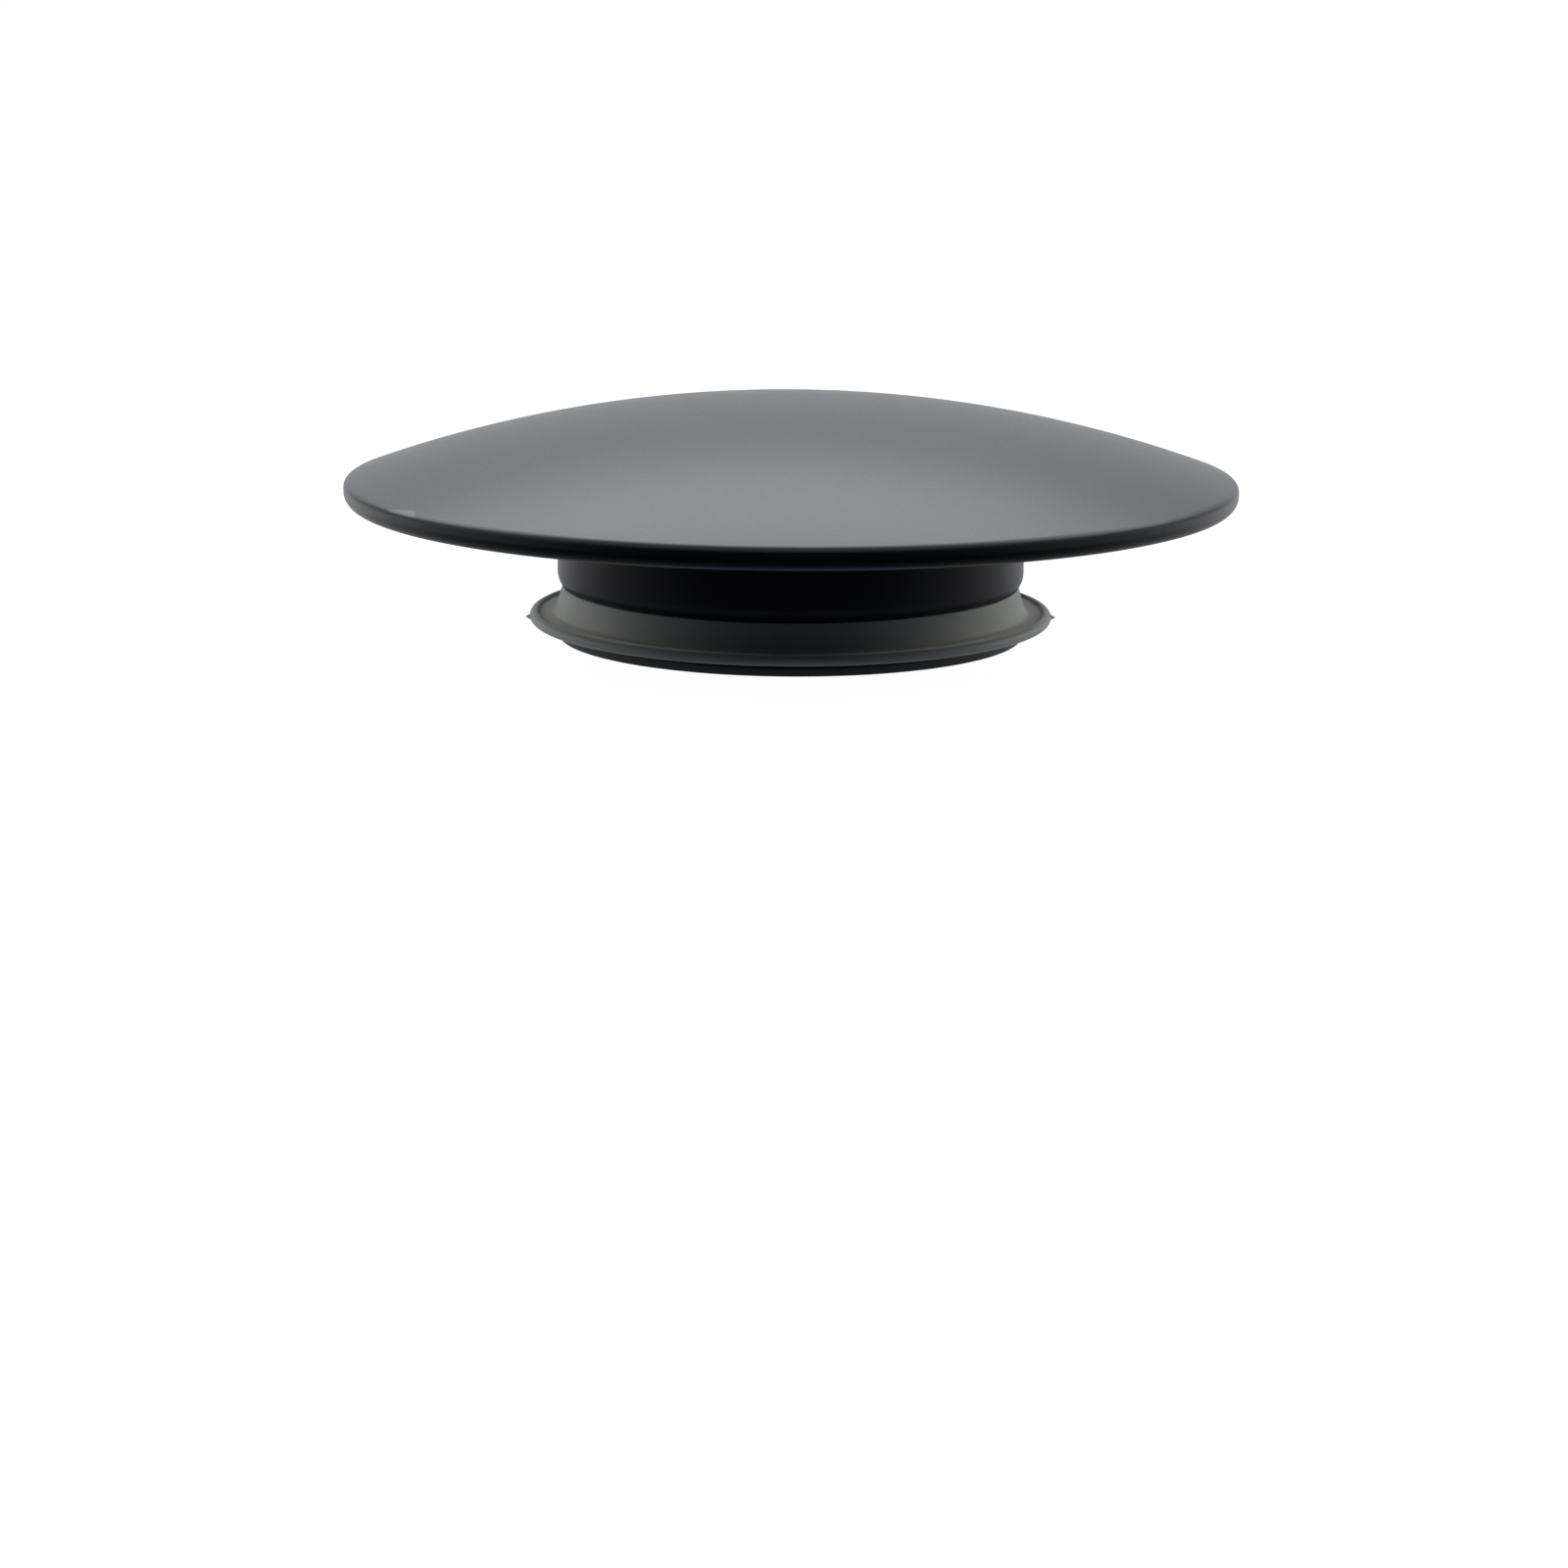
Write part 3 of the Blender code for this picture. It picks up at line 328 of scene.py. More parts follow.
# Plug body
# One moulding in glass-filled black plastic: the collar that shows under the cap, a web that is
# clamped under it and a neck that carries the seal. Its face has the fine grain of a sparked mould.
COLLAR_R = 17.32 * MM
COLLAR_BOTTOM = 3.8 * MM
COLLAR_FOOT_R = 16.94 * MM  # where the collar's wide rounding ends at its underside
COLLAR_FOOT_H = 0.47 * MM
COLLAR_FILLET = 1.6 * MM
COLLAR_FLAT_R = 15.5 * MM
WEB_T = 1.1 * MM
NECK_R = 15.4 * MM
NECK_END = 0.15 * MM
NECK_BREAK = 0.2 * MM
CAVITY_R = 13.4 * MM
RIB_COUNT = 3
RIB_ANGLE = math.radians(90)  # of the first rib, and of its keyway and its tie screw
KEYWAY_R = 14.2 * MM
KEYWAY_W = 4.2 * MM
KEYWAY_TOP = 13.14 * MM
OVERRUN = 1.0 * MM  # how far a cut reaches past what it cuts
BODY_TURN_STEPS = 288

GRAINED = "#050508"
SPARK_GRAIN = 0.16 * MM  # really about 0.08 mm, drawn coarser so that it shows
SPARK_DEPTH = 0.010 * MM


def ring_of(tree, piece, count, first_angle):
    """Evenly spaced copies of a piece, each turned about Z."""
    points = add(tree, "GeometryNodePoints", {"Count": count})
    index = add(tree, "GeometryNodeInputIndex").outputs["Index"]
    step = add(tree, "ShaderNodeMath", {0: math.tau, 1: count}, operation="DIVIDE").outputs[0]
    angle = add(tree, "ShaderNodeMath", {0: index, 1: step, 2: first_angle},
                operation="MULTIPLY_ADD").outputs[0]
    turn = add(tree, "ShaderNodeCombineXYZ", {"Z": angle})
    ring = add(tree, "GeometryNodeInstanceOnPoints", {"Points": points.outputs[0],
                                                      "Instance": piece,
                                                      "Rotation": turn.outputs[0]})
    real = add(tree, "GeometryNodeRealizeInstances", {"Geometry": ring.outputs["Instances"]})
    return real.outputs[0]


def notch_tree():
    """Cuts evenly spaced blocks, such as keyways or notches, out of a turned piece."""
    tree = growing_tree("notches")
    socket(tree, "Turned", "NodeSocketGeometry")
    socket(tree, "Count", "NodeSocketInt", 3)
    socket(tree, "First Angle", "NodeSocketFloat", 0.0)
    socket(tree, "Block Size", "NodeSocketVector")
    socket(tree, "Block Middle", "NodeSocketVector")
    socket(tree, "Material", "NodeSocketMaterial")
    given = add(tree, "NodeGroupInput").outputs
    block = add(tree, "GeometryNodeMeshCube", {"Size": given["Block Size"]})
    placed = add(tree, "GeometryNodeTransform", {"Geometry": block.outputs["Mesh"],
                                                 "Translation": given["Block Middle"]})
    blocks = ring_of(tree, placed.outputs["Geometry"], given["Count"], given["First Angle"])
    cut = add(tree, "GeometryNodeMeshBoolean", {"Mesh 1": given["Turned"], "Mesh 2": blocks,
                                                "Self Intersection": True},
              operation="DIFFERENCE", solver="EXACT")
    return completed(tree, cut.outputs["Mesh"], given["Material"])


def block_between(inner, outer, width, bottom, top):
    """Size and middle of a block that reaches outwards between two radii."""
    return ((outer - inner, width, top - bottom), ((inner + outer) / 2, 0, (bottom + top) / 2))


def textured(tree, shader, pattern, depth, shiny, matt):
    """Lets a pattern stand out by its depth, and take the roughness from shiny to matt."""
    soft = add(tree, "ShaderNodeMapRange", {"Value": pattern, "To Min": shiny, "To Max": matt})
    relief = add(tree, "ShaderNodeBump", {"Height": pattern, "Strength": 1.0, "Distance": depth})
    tree.links.new(soft.outputs["Result"], shader.inputs["Roughness"])
    tree.links.new(relief.outputs["Normal"], shader.inputs["Normal"])


def grained_plastic():
    """Glass-filled black nylon from a spark-eroded mould: a fine even grain, matt and very dark."""
    material, tree, shader, place = finish_named("sparked_black_nylon", GRAINED, {
        "IOR": 1.5, "Specular IOR Level": 0.26})
    grain = add(tree, "ShaderNodeTexNoise", {"Vector": place, "Scale": 1 / SPARK_GRAIN,
                                             "Detail": 2.0, "Roughness": 0.55})
    textured(tree, shader, grain.outputs["Fac"], SPARK_DEPTH, shiny=0.33, matt=0.45)
    return material


notches = notch_tree()
web_under = plug_top - WEB_T
body_corners = [(COLLAR_R, under_cap(COLLAR_R) - SEAT_GAP, EDGE_BREAK),
                (COLLAR_R, COLLAR_BOTTOM + COLLAR_FOOT_H, COLLAR_FILLET),
                (COLLAR_FOOT_R, COLLAR_BOTTOM, EDGE_BREAK), (NECK_R, COLLAR_BOTTOM, EDGE_BREAK),
                (NECK_R, NECK_END, NECK_BREAK), (CAVITY_R, NECK_END, EDGE_BREAK),
                (CAVITY_R, web_under, EDGE_BREAK), (STUD_HOLE_R, web_under, 0),
                (STUD_HOLE_R, plug_top, 0), (COLLAR_FLAT_R, plug_top, EDGE_BREAK)]
nylon = grained_plastic()
body = turned("collar_and_neck", rounded(body_corners, steps=8), nylon, BODY_TURN_STEPS)
size, middle = block_between(CAVITY_R - OVERRUN, KEYWAY_R, KEYWAY_W, -OVERRUN, KEYWAY_TOP)
grown(body, notches, Count=RIB_COUNT, First_Angle=RIB_ANGLE, Block_Size=size,
      Block_Middle=middle, Material=nylon)
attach(body, "cover")
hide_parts("plug_body")


# Lip seal
# Compression-moulded nitrile rubber, stretched over the neck: a short flared crown, and a thin lip
# with a thicker rounded edge that keeps a little torn flash where the mould's halves met.
SEAL_BORE_R = 15.7 * MM
SEAL_TOP_R = 16.97 * MM
SEAL_EDGE_R = 0.08 * MM
SEAL_SQUEEZE = 0.04 * MM  # what is left between the crown and the collar that it is pushed against
SEAL_ROOT_R = 17.4 * MM
SEAL_FILLET_R = 0.42 * MM
CROWN_TAPER = 14  # degrees off upright at the crown's foot
LIP_R = 19.4 * MM
LIP_T = 0.72 * MM
LIP_BEAD_R = 0.40 * MM
LIP_BEAD_START = 140  # degrees
LIP_RAKE = 0.13 * MM
LIP_FALL = 2  # degrees, outwards along the lip's top
LIP_FLAT_R = 17.7 * MM
FLASH_REACH = 0.32 * MM
FLASH_ANGLES = (357.0, 186.0)  # degrees, from +X
FLASH_SPREAD = 0.55  # degrees
FLASH_THIN = 0.16 * MM
SEAL_TURN_STEPS = 720
RUBBER = "#6c6e6f"
RUBBER_BLOOM = "#787a78"
LIP_BAND_PAINTED_TONE = "#6a6c6c"  # painted light: the lip's outer edge gets its own tone, tuned to the lit band along it
LIP_BAND_FROM = 0.25 * MM  # inside the lip's edge
LIP_BAND_FULL = 0.05 * MM
BLOOM_SIZE = 4 * MM
MOULD_PRINT = 0.35 * MM
PRINT_DEPTH = 0.012 * MM


def nitrile():
    """Moulded nitrile rubber: matt, with a faint greyish bloom and the fine print of its mould."""
    material, tree, shader, place = finish_named("moulded_nitrile_rubber", RUBBER, {
        "IOR": 1.52, "Sheen Weight": 0.25, "Sheen Roughness": 0.4})
    cloud = add(tree, "ShaderNodeTexNoise", {"Vector": place, "Scale": 1 / BLOOM_SIZE,
                                             "Detail": 4.0})
    cloudy = add(tree, "ShaderNodeMix", {"Factor": cloud.outputs["Fac"], 6: linear(RUBBER),
                                         7: linear(RUBBER_BLOOM)}, data_type="RGBA")
    # Painted light: the lip's outer edge gets its own tone, tuned to how bright the lit band along
    # it looks.
    edge = outside(tree, place, LIP_R - LIP_BAND_FROM, LIP_R - LIP_BAND_FULL)
    colour = add(tree, "ShaderNodeMix", {"Factor": edge, 6: cloudy.outputs[2],
                                         7: linear(LIP_BAND_PAINTED_TONE)}, data_type="RGBA")
    tree.links.new(colour.outputs[2], shader.inputs["Base Color"])
    fine_print = add(tree, "ShaderNodeTexNoise", {"Vector": place, "Scale": 1 / MOULD_PRINT,
                                                  "Detail": 3.0})
    textured(tree, shader, fine_print.outputs["Fac"], PRINT_DEPTH, shiny=0.44, matt=0.60)
    return material


seal_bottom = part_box("lip_seal")[0].z
seal_top = COLLAR_BOTTOM - SEAL_SQUEEZE
fillet_middle = seal_bottom + LIP_T + SEAL_FILLET_R
bead_middle = seal_bottom + LIP_RAKE + LIP_BEAD_R
profile = arc(SEAL_TOP_R - SEAL_EDGE_R, seal_top - SEAL_EDGE_R, SEAL_EDGE_R, 90, 0, steps=6)
profile += arc(SEAL_ROOT_R + SEAL_FILLET_R, fillet_middle, SEAL_FILLET_R, 180 + CROWN_TAPER,
               270 - LIP_FALL, steps=12)
profile += arc(LIP_R - LIP_BEAD_R, bead_middle, LIP_BEAD_R, LIP_BEAD_START, -90, steps=20)
profile += [(LIP_FLAT_R, seal_bottom), (SEAL_BORE_R, seal_bottom), (SEAL_BORE_R, seal_top)]
seal = turned("lip_seal_rubber", profile + profile[:1], nitrile(), SEAL_TURN_STEPS)
for vertex in seal.data.vertices:
    out = math.hypot(vertex.co.x, vertex.co.y)
    if out < LIP_R - LIP_BEAD_R:
        continue
    thin = math.exp(-((vertex.co.z - bead_middle) / FLASH_THIN)**2)
    around = math.degrees(math.atan2(vertex.co.y, vertex.co.x)) % 360
    for angle in FLASH_ANGLES:
        away = min(abs(around - angle), 360 - abs(around - angle)) / FLASH_SPREAD
        share = thin * math.exp(-away**2) * (out - LIP_R + LIP_BEAD_R) / LIP_BEAD_R
        vertex.co.x *= 1 + share * FLASH_REACH / out
        vertex.co.y *= 1 + share * FLASH_REACH / out
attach(seal, "cover")
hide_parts("lip_seal")


# Seal retainer
# A flat nylon ring that screws on the neck and holds the seal, with four notches for a pin wrench.
# It is moulded in the same black as the collar, but polished a little more.
RETAINER_R = 17.3 * MM
RETAINER_T = 0.65 * MM
NOTCH_COUNT = 4
NOTCH_W = 1.8 * MM
NOTCH_REACH = 0.9 * MM
NOTCH_DEPTH = 0.35 * MM
RETAINER_BLACK = "#0a0a0b"
FLOW_SIZE = 1.5 * MM
FLOW_DEPTH = 0.01 * MM


def smooth_nylon():
    """Black nylon from a polished mould: smoother than the collar, with faint flow lines."""
    material, tree, shader, place = finish_named("moulded_black_nylon", RETAINER_BLACK,
                                                 {"IOR": 1.53})
    flow = add(tree, "ShaderNodeTexNoise", {"Vector": place, "Scale": 1 / FLOW_SIZE,
                                            "Detail": 5.0, "Distortion": 0.6})
    textured(tree, shader, flow.outputs["Fac"], FLOW_DEPTH, shiny=0.32, matt=0.48)
    return material


ring_black = smooth_nylon()
ring_corners = [(RETAINER_R, RETAINER_T, EDGE_BREAK), (RETAINER_R, 0, EDGE_BREAK),
                (SEAL_BORE_R, 0, EDGE_BREAK), (SEAL_BORE_R, RETAINER_T, EDGE_BREAK)]
retainer = turned("notched_ring", rounded(ring_corners), ring_black, BODY_TURN_STEPS)
size, middle = block_between(SEAL_BORE_R - OVERRUN, SEAL_BORE_R + NOTCH_REACH, NOTCH_W, -OVERRUN,
                             NOTCH_DEPTH)
grown(retainer, notches, Count=NOTCH_COUNT, First_Angle=math.pi / NOTCH_COUNT, Block_Size=size,
      Block_Middle=middle, Material=ring_black)
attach(retainer, "cover")
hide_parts("seal_retainer")


# Foot, barrel and top ring of the core
# Acetal mouldings in dark grey. The foot stands on the waste's cross bar, the barrel has the
# rotor's cam slots and three ribs, and the ring closes it.
ACETAL_GREY = "#595a5c"
MOULD_EDGE = 0.06 * MM
MOULD_CORNER = math.radians(40)  # two faces that meet at more than this have an edge to round
FLAT_FACES = math.radians(0.5)  # two that meet at less than this are one
GREY_DEPTH = 0.5 * MM  # how far light gets into it
TOOL_MARK = 0.6 * MM
TOOL_MARK_DEPTH = 0.008 * MM


def grey_acetal():
    """Dark grey acetal, moulded: waxy, even, with a soft shine and faint tool marks."""
    material, tree, shader, place = finish_named("moulded_grey_acetal", ACETAL_GREY, {
        "IOR": 1.48, "Subsurface Weight": 0.05, "Subsurface Scale": GREY_DEPTH})
    marks = add(tree, "ShaderNodeTexNoise", {"Vector": place, "Scale": 1 / TOOL_MARK,
                                             "Detail": 4.0})
    textured(tree, shader, marks.outputs["Fac"], TOOL_MARK_DEPTH, shiny=0.32, matt=0.48)
    return material


def moulded(name, node, material, body):
    """A piece in the shape of a packed one, with its edges rounded and its walls smooth."""
    shape = bmesh.new()
    shape.from_mesh(nodes[node].data)
    bmesh.ops.remove_doubles(shape, verts=shape.verts, dist=MERGE)
    bmesh.ops.dissolve_limit(shape, angle_limit=FLAT_FACES, verts=shape.verts, edges=shape.edges)
    corners = [edge for edge in shape.edges
               if len(edge.link_faces) == 2 and edge.calc_face_angle() > MOULD_CORNER]
    bmesh.ops.bevel(shape, geom=corners, offset=MOULD_EDGE, segments=2, profile=0.5, affect="EDGES",
                    clamp_overlap=True)
    bmesh.ops.triangulate(shape, faces=shape.faces)
    mesh = bpy.data.meshes.new(name)
    shape.to_mesh(mesh)
    shape.free()
    mesh.shade_smooth()
    mesh.set_sharp_from_angle(angle=CREASE)
    mesh.materials.append(material)
    obj = in_scene(name, mesh)
    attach(obj, body)
    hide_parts(node)


def dress(material, *names):
    """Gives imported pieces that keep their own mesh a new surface."""
    for name in names:
        nodes[name].data.materials.clear()
        nodes[name].data.materials.append(material)


acetal = grey_acetal()
moulded("moulded_foot", "core_foot", acetal, "core")
moulded("moulded_barrel", "cam_barrel", acetal, "core")
moulded("moulded_top_ring", "barrel_top_ring", acetal, "core")


# Threaded insert
# Turned from brass bar and pressed into the foot's post. It takes the waste's M8 stud, so its
# bore has a thread of 1.25 mm pitch and a chamfered mouth.
INSERT_R = 4.5 * MM
INSERT_BORE_R = 3.35 * MM
INSERT_CHAMFER = 0.35 * MM
THREAD_DEPTH = 0.55 * MM
THREAD_PITCH = 1.25 * MM
THREAD_ROWS = 10  # each pitch
INSERT_TURN_STEPS = 96
BRASS = "#c8a25a"
BRASS_TARNISH = "#a8833f"
TARNISH_SIZE = 1.2 * MM
BRASS_RING = 0.12 * MM
BRASS_RING_DEPTH = 0.003 * MM
WAVE_SCALE = math.tau / 20  # that gives a wave texture one line each metre


def turned_brass():
    """Free-cutting brass, turned: bright, warm, with the tool's fine rings and some tarnish."""
    material, tree, shader, place = finish_named("turned_brass", BRASS, {"Roughness": 0.28,
                                                                         "Metallic": 1.0})
    stain = add(tree, "ShaderNodeTexNoise", {"Vector": place, "Scale": 1 / TARNISH_SIZE,
                                             "Detail": 5.0})
    colour = add(tree, "ShaderNodeMix", {"Factor": stain.outputs["Fac"], 6: linear(BRASS),
                                         7: linear(BRASS_TARNISH)}, data_type="RGBA")
    rings = add(tree, "ShaderNodeTexWave", {"Vector": place, "Scale": WAVE_SCALE / BRASS_RING},
                wave_type="RINGS", rings_direction="Z")
    relief = add(tree, "ShaderNodeBump", {"Height": rings.outputs["Fac"], "Strength": 1.0,
                                          "Distance": BRASS_RING_DEPTH})
    tree.links.new(colour.outputs[2], shader.inputs["Base Color"])
    tree.links.new(relief.outputs["Normal"], shader.inputs["Normal"])
    return material


brass = turned_brass()
insert_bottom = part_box("threaded_insert")[0].z
insert_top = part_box("threaded_insert")[1].z
bore_bottom = insert_bottom + INSERT_CHAMFER
bore_h = insert_top - bore_bottom
rows = round(bore_h / (THREAD_PITCH / THREAD_ROWS))
profile = [(INSERT_R, insert_top), (INSERT_R, insert_bottom),
           (INSERT_BORE_R + INSERT_CHAMFER, insert_bottom)]
profile += [(INSERT_BORE_R, bore_bottom + bore_h * row / rows) for row in range(rows + 1)]
insert = turned("tapped_insert", profile + profile[:1], brass, INSERT_TURN_STEPS)
for vertex in insert.data.vertices:
    out = math.hypot(vertex.co.x, vertex.co.y)
    in_bore = bore_bottom + MERGE <= vertex.co.z <= insert_top - MERGE
    if out > INSERT_BORE_R + MERGE or not in_bore:
        continue
    share = (vertex.co.z / THREAD_PITCH - math.atan2(vertex.co.y, vertex.co.x) / math.tau) % 1
    cut = THREAD_DEPTH * (1 - abs(2 * share - 1))
    vertex.co.x *= 1 + cut / out
    vertex.co.y *= 1 + cut / out
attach(insert, "core")
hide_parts("threaded_insert")


# Tie screws
# Three long stainless screws, cold headed, with rounded heads and cross recesses. They go up
# through the foot and the barrel's ribs, and hold these and the top ring together.
SCREW_R = 0.7 * MM
SCREW_POINT = 0.3 * MM
SCREW_HEAD_R = 1.2 * MM
SCREW_HEAD_T = 0.5 * MM
SCREW_HEAD_EDGE = 0.16 * MM
DRIVE_ARMS = 4
DRIVE_W = 0.3 * MM
DRIVE_REACH = 0.75 * MM
DRIVE_DEPTH = 0.25 * MM
SCREW_TURN_STEPS = 48
SCREW_STEEL = "#c9c9ca"
DENT_SIZE = 0.5 * MM
DENT_DEPTH = 0.006 * MM


def circle_tree():
    """Sets copies of a piece evenly on a circle about Z."""
    tree = growing_tree("on_a_circle")
    socket(tree, "Piece", "NodeSocketGeometry")
    socket(tree, "Count", "NodeSocketInt", 3)
    socket(tree, "First Angle", "NodeSocketFloat", 0.0)
    socket(tree, "Circle Radius", "NodeSocketFloat", 1.0)
    socket(tree, "Material", "NodeSocketMaterial")
    given = add(tree, "NodeGroupInput").outputs
    outwards = add(tree, "ShaderNodeCombineXYZ", {"X": given["Circle Radius"]})
    placed = add(tree, "GeometryNodeTransform", {"Geometry": given["Piece"],
                                                 "Translation": outwards.outputs[0]})
    ring = ring_of(tree, placed.outputs["Geometry"], given["Count"], given["First Angle"])
    return completed(tree, ring, given["Material"])


def headed_steel():
    """Stainless steel, cold headed and tumbled: bright and smooth, with faint soft dents."""
    material, tree, shader, place = finish_named("cold_headed_stainless", SCREW_STEEL,
                                                 {"Metallic": 1.0})
    dents = add(tree, "ShaderNodeTexNoise", {"Vector": place, "Scale": 1 / DENT_SIZE,
                                             "Detail": 2.0})
    textured(tree, shader, dents.outputs["Fac"], DENT_DEPTH, shiny=0.22, matt=0.36)
    return material


headed = headed_steel()
screw_low, screw_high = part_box("tie_screw_1")
head_side = screw_low.z + SCREW_HEAD_EDGE
profile = [(0, screw_high.z), (SCREW_R - SCREW_POINT, screw_high.z),
           (SCREW_R, screw_high.z - SCREW_POINT)]
profile += [(SCREW_R, screw_low.z + SCREW_HEAD_T), (SCREW_HEAD_R, screw_low.z + SCREW_HEAD_T)]
profile += arc(SCREW_HEAD_R - SCREW_HEAD_EDGE, head_side, SCREW_HEAD_EDGE, 0, -90, steps=6)
profile += [(0, screw_low.z)]
screws = turned("tie_screws", profile, headed, SCREW_TURN_STEPS)
size = (DRIVE_REACH, DRIVE_W, DRIVE_DEPTH + OVERRUN)
middle = (DRIVE_REACH / 2, 0, screw_low.z + (DRIVE_DEPTH - OVERRUN) / 2)
grown(screws, notches, Count=DRIVE_ARMS, First_Angle=0.0, Block_Size=size, Block_Middle=middle,
      Material=headed)
grown(screws, circle_tree(), Count=RIB_COUNT, First_Angle=RIB_ANGLE,
      Circle_Radius=(screw_low.y + screw_high.y) / 2, Material=headed)
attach(screws, "core")
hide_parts("tie_screw_1", "tie_screw_2", "tie_screw_3")


# Steel fixings
# Stainless steel, turned or punched: the stud, the nut and the split washer that clamp the cap,
# the rotor's pins and its clip, and the spring's seat.
STEEL = "#c2c2c4"
STEEL_RING = 0.1 * MM
STEEL_RING_DEPTH = 0.002 * MM
STEEL_SMEAR = 0.8 * MM


def turned_steel():
    """Stainless steel, turned or rolled: bright grey with fine rings and a slightly soft shine."""
    material, tree, shader, place = finish_named("turned_stainless_steel", STEEL,
                                                 {"Metallic": 1.0})
    rings = add(tree, "ShaderNodeTexWave", {"Vector": place, "Scale": WAVE_SCALE / STEEL_RING},
                wave_type="RINGS", rings_direction="Z")
    smear = add(tree, "ShaderNodeTexNoise", {"Vector": place, "Scale": 1 / STEEL_SMEAR,
                                             "Detail": 4.0})
    soft = add(tree, "ShaderNodeMapRange", {"Value": smear.outputs["Fac"], "To Min": 0.18,
                                            "To Max": 0.36})
    relief = add(tree, "ShaderNodeBump", {"Height": rings.outputs["Fac"], "Strength": 1.0,
                                          "Distance": STEEL_RING_DEPTH})
    tree.links.new(soft.outputs["Result"], shader.inputs["Roughness"])
    tree.links.new(relief.outputs["Normal"], shader.inputs["Normal"])
    return material


steel = turned_steel()
dress(steel, "cap_stud", "cap_lock_washer", "cap_nut", "spring_seat", "rotor_clip",
      "rotor_pin_1", "rotor_pin_2", "rotor_pin_3")


# Plunger and rotor
# Acetal in its natural off-white, moulded, with a PTFE thrust washer between them. They turn
# and slide on each other without grease.
ACETAL_NATURAL = "#d9d6cb"
NATURAL_DEPTH = 1.0 * MM  # how far light gets into it
NATURAL_MARK = 0.7 * MM
NATURAL_MARK_DEPTH = 0.006 * MM
PTFE_WHITE = "#e6e5df"
SKIVE_LINE = 0.25 * MM
SKIVE_DEPTH = 0.004 * MM


def natural_acetal():
    """Natural acetal, moulded: milky off-white that lets a little light in."""
    material, tree, shader, place = finish_named("moulded_natural_acetal", ACETAL_NATURAL, {
        "IOR": 1.48, "Subsurface Weight": 0.2, "Subsurface Scale": NATURAL_DEPTH})
    marks = add(tree, "ShaderNodeTexNoise", {"Vector": place, "Scale": 1 / NATURAL_MARK,
                                             "Detail": 4.0})
    textured(tree, shader, marks.outputs["Fac"], NATURAL_MARK_DEPTH, shiny=0.28, matt=0.44)
    return material


def skived_ptfe():
    """PTFE sheet, skived and punched: waxy white with fine parallel cut lines."""
    material, tree, shader, place = finish_named("skived_ptfe", PTFE_WHITE, {"Roughness": 0.45,
                                                                             "IOR": 1.38})
    lines = add(tree, "ShaderNodeTexWave", {"Vector": place, "Scale": WAVE_SCALE / SKIVE_LINE,
                                            "Distortion": 0.4}, wave_type="BANDS")
    relief = add(tree, "ShaderNodeBump", {"Height": lines.outputs["Fac"], "Strength": 1.0,
                                          "Distance": SKIVE_DEPTH})
    tree.links.new(relief.outputs["Normal"], shader.inputs["Normal"])
    return material


dress(natural_acetal(), "plunger", "cam_rotor")
dress(skived_ptfe(), "thrust_washer")


# Main spring
# Round stainless wire, coiled cold round the post, with the last turn at each end closed down.
# In use it stretches as the cap rises: its foot stays on the core and its head goes up with the
# cover. Here it is drawn in one shape and goes with neither.
SPRING_R = 6.7 * MM
WIRE_R = 0.4 * MM
SPRING_TURNS = 4.5
DEAD_TURNS = 0.8  # closed turns at each end
DEAD_PITCH = 0.85 * MM
DEAD_EASE = 0.15 * MM  # over which the wire's slope changes at a closed turn
WIRE_SIDES = 16
WIRE_STEEL = "#b4b5b8"
DRAW_LINE = 0.15 * MM
DRAW_DEPTH = 0.004 * MM


def drawn_wire():
    """Spring wire, drawn and passivated: grey, bright, with fine lines along the wire."""
    material, tree, shader, place = finish_named("drawn_spring_wire", WIRE_STEEL,
                                                 {"Metallic": 1.0})
    lines = add(tree, "ShaderNodeTexNoise", {"Vector": place, "Scale": 1 / DRAW_LINE,
                                             "Detail": 3.0})
    textured(tree, shader, lines.outputs["Fac"], DRAW_DEPTH, shiny=0.18, matt=0.34)
    return material


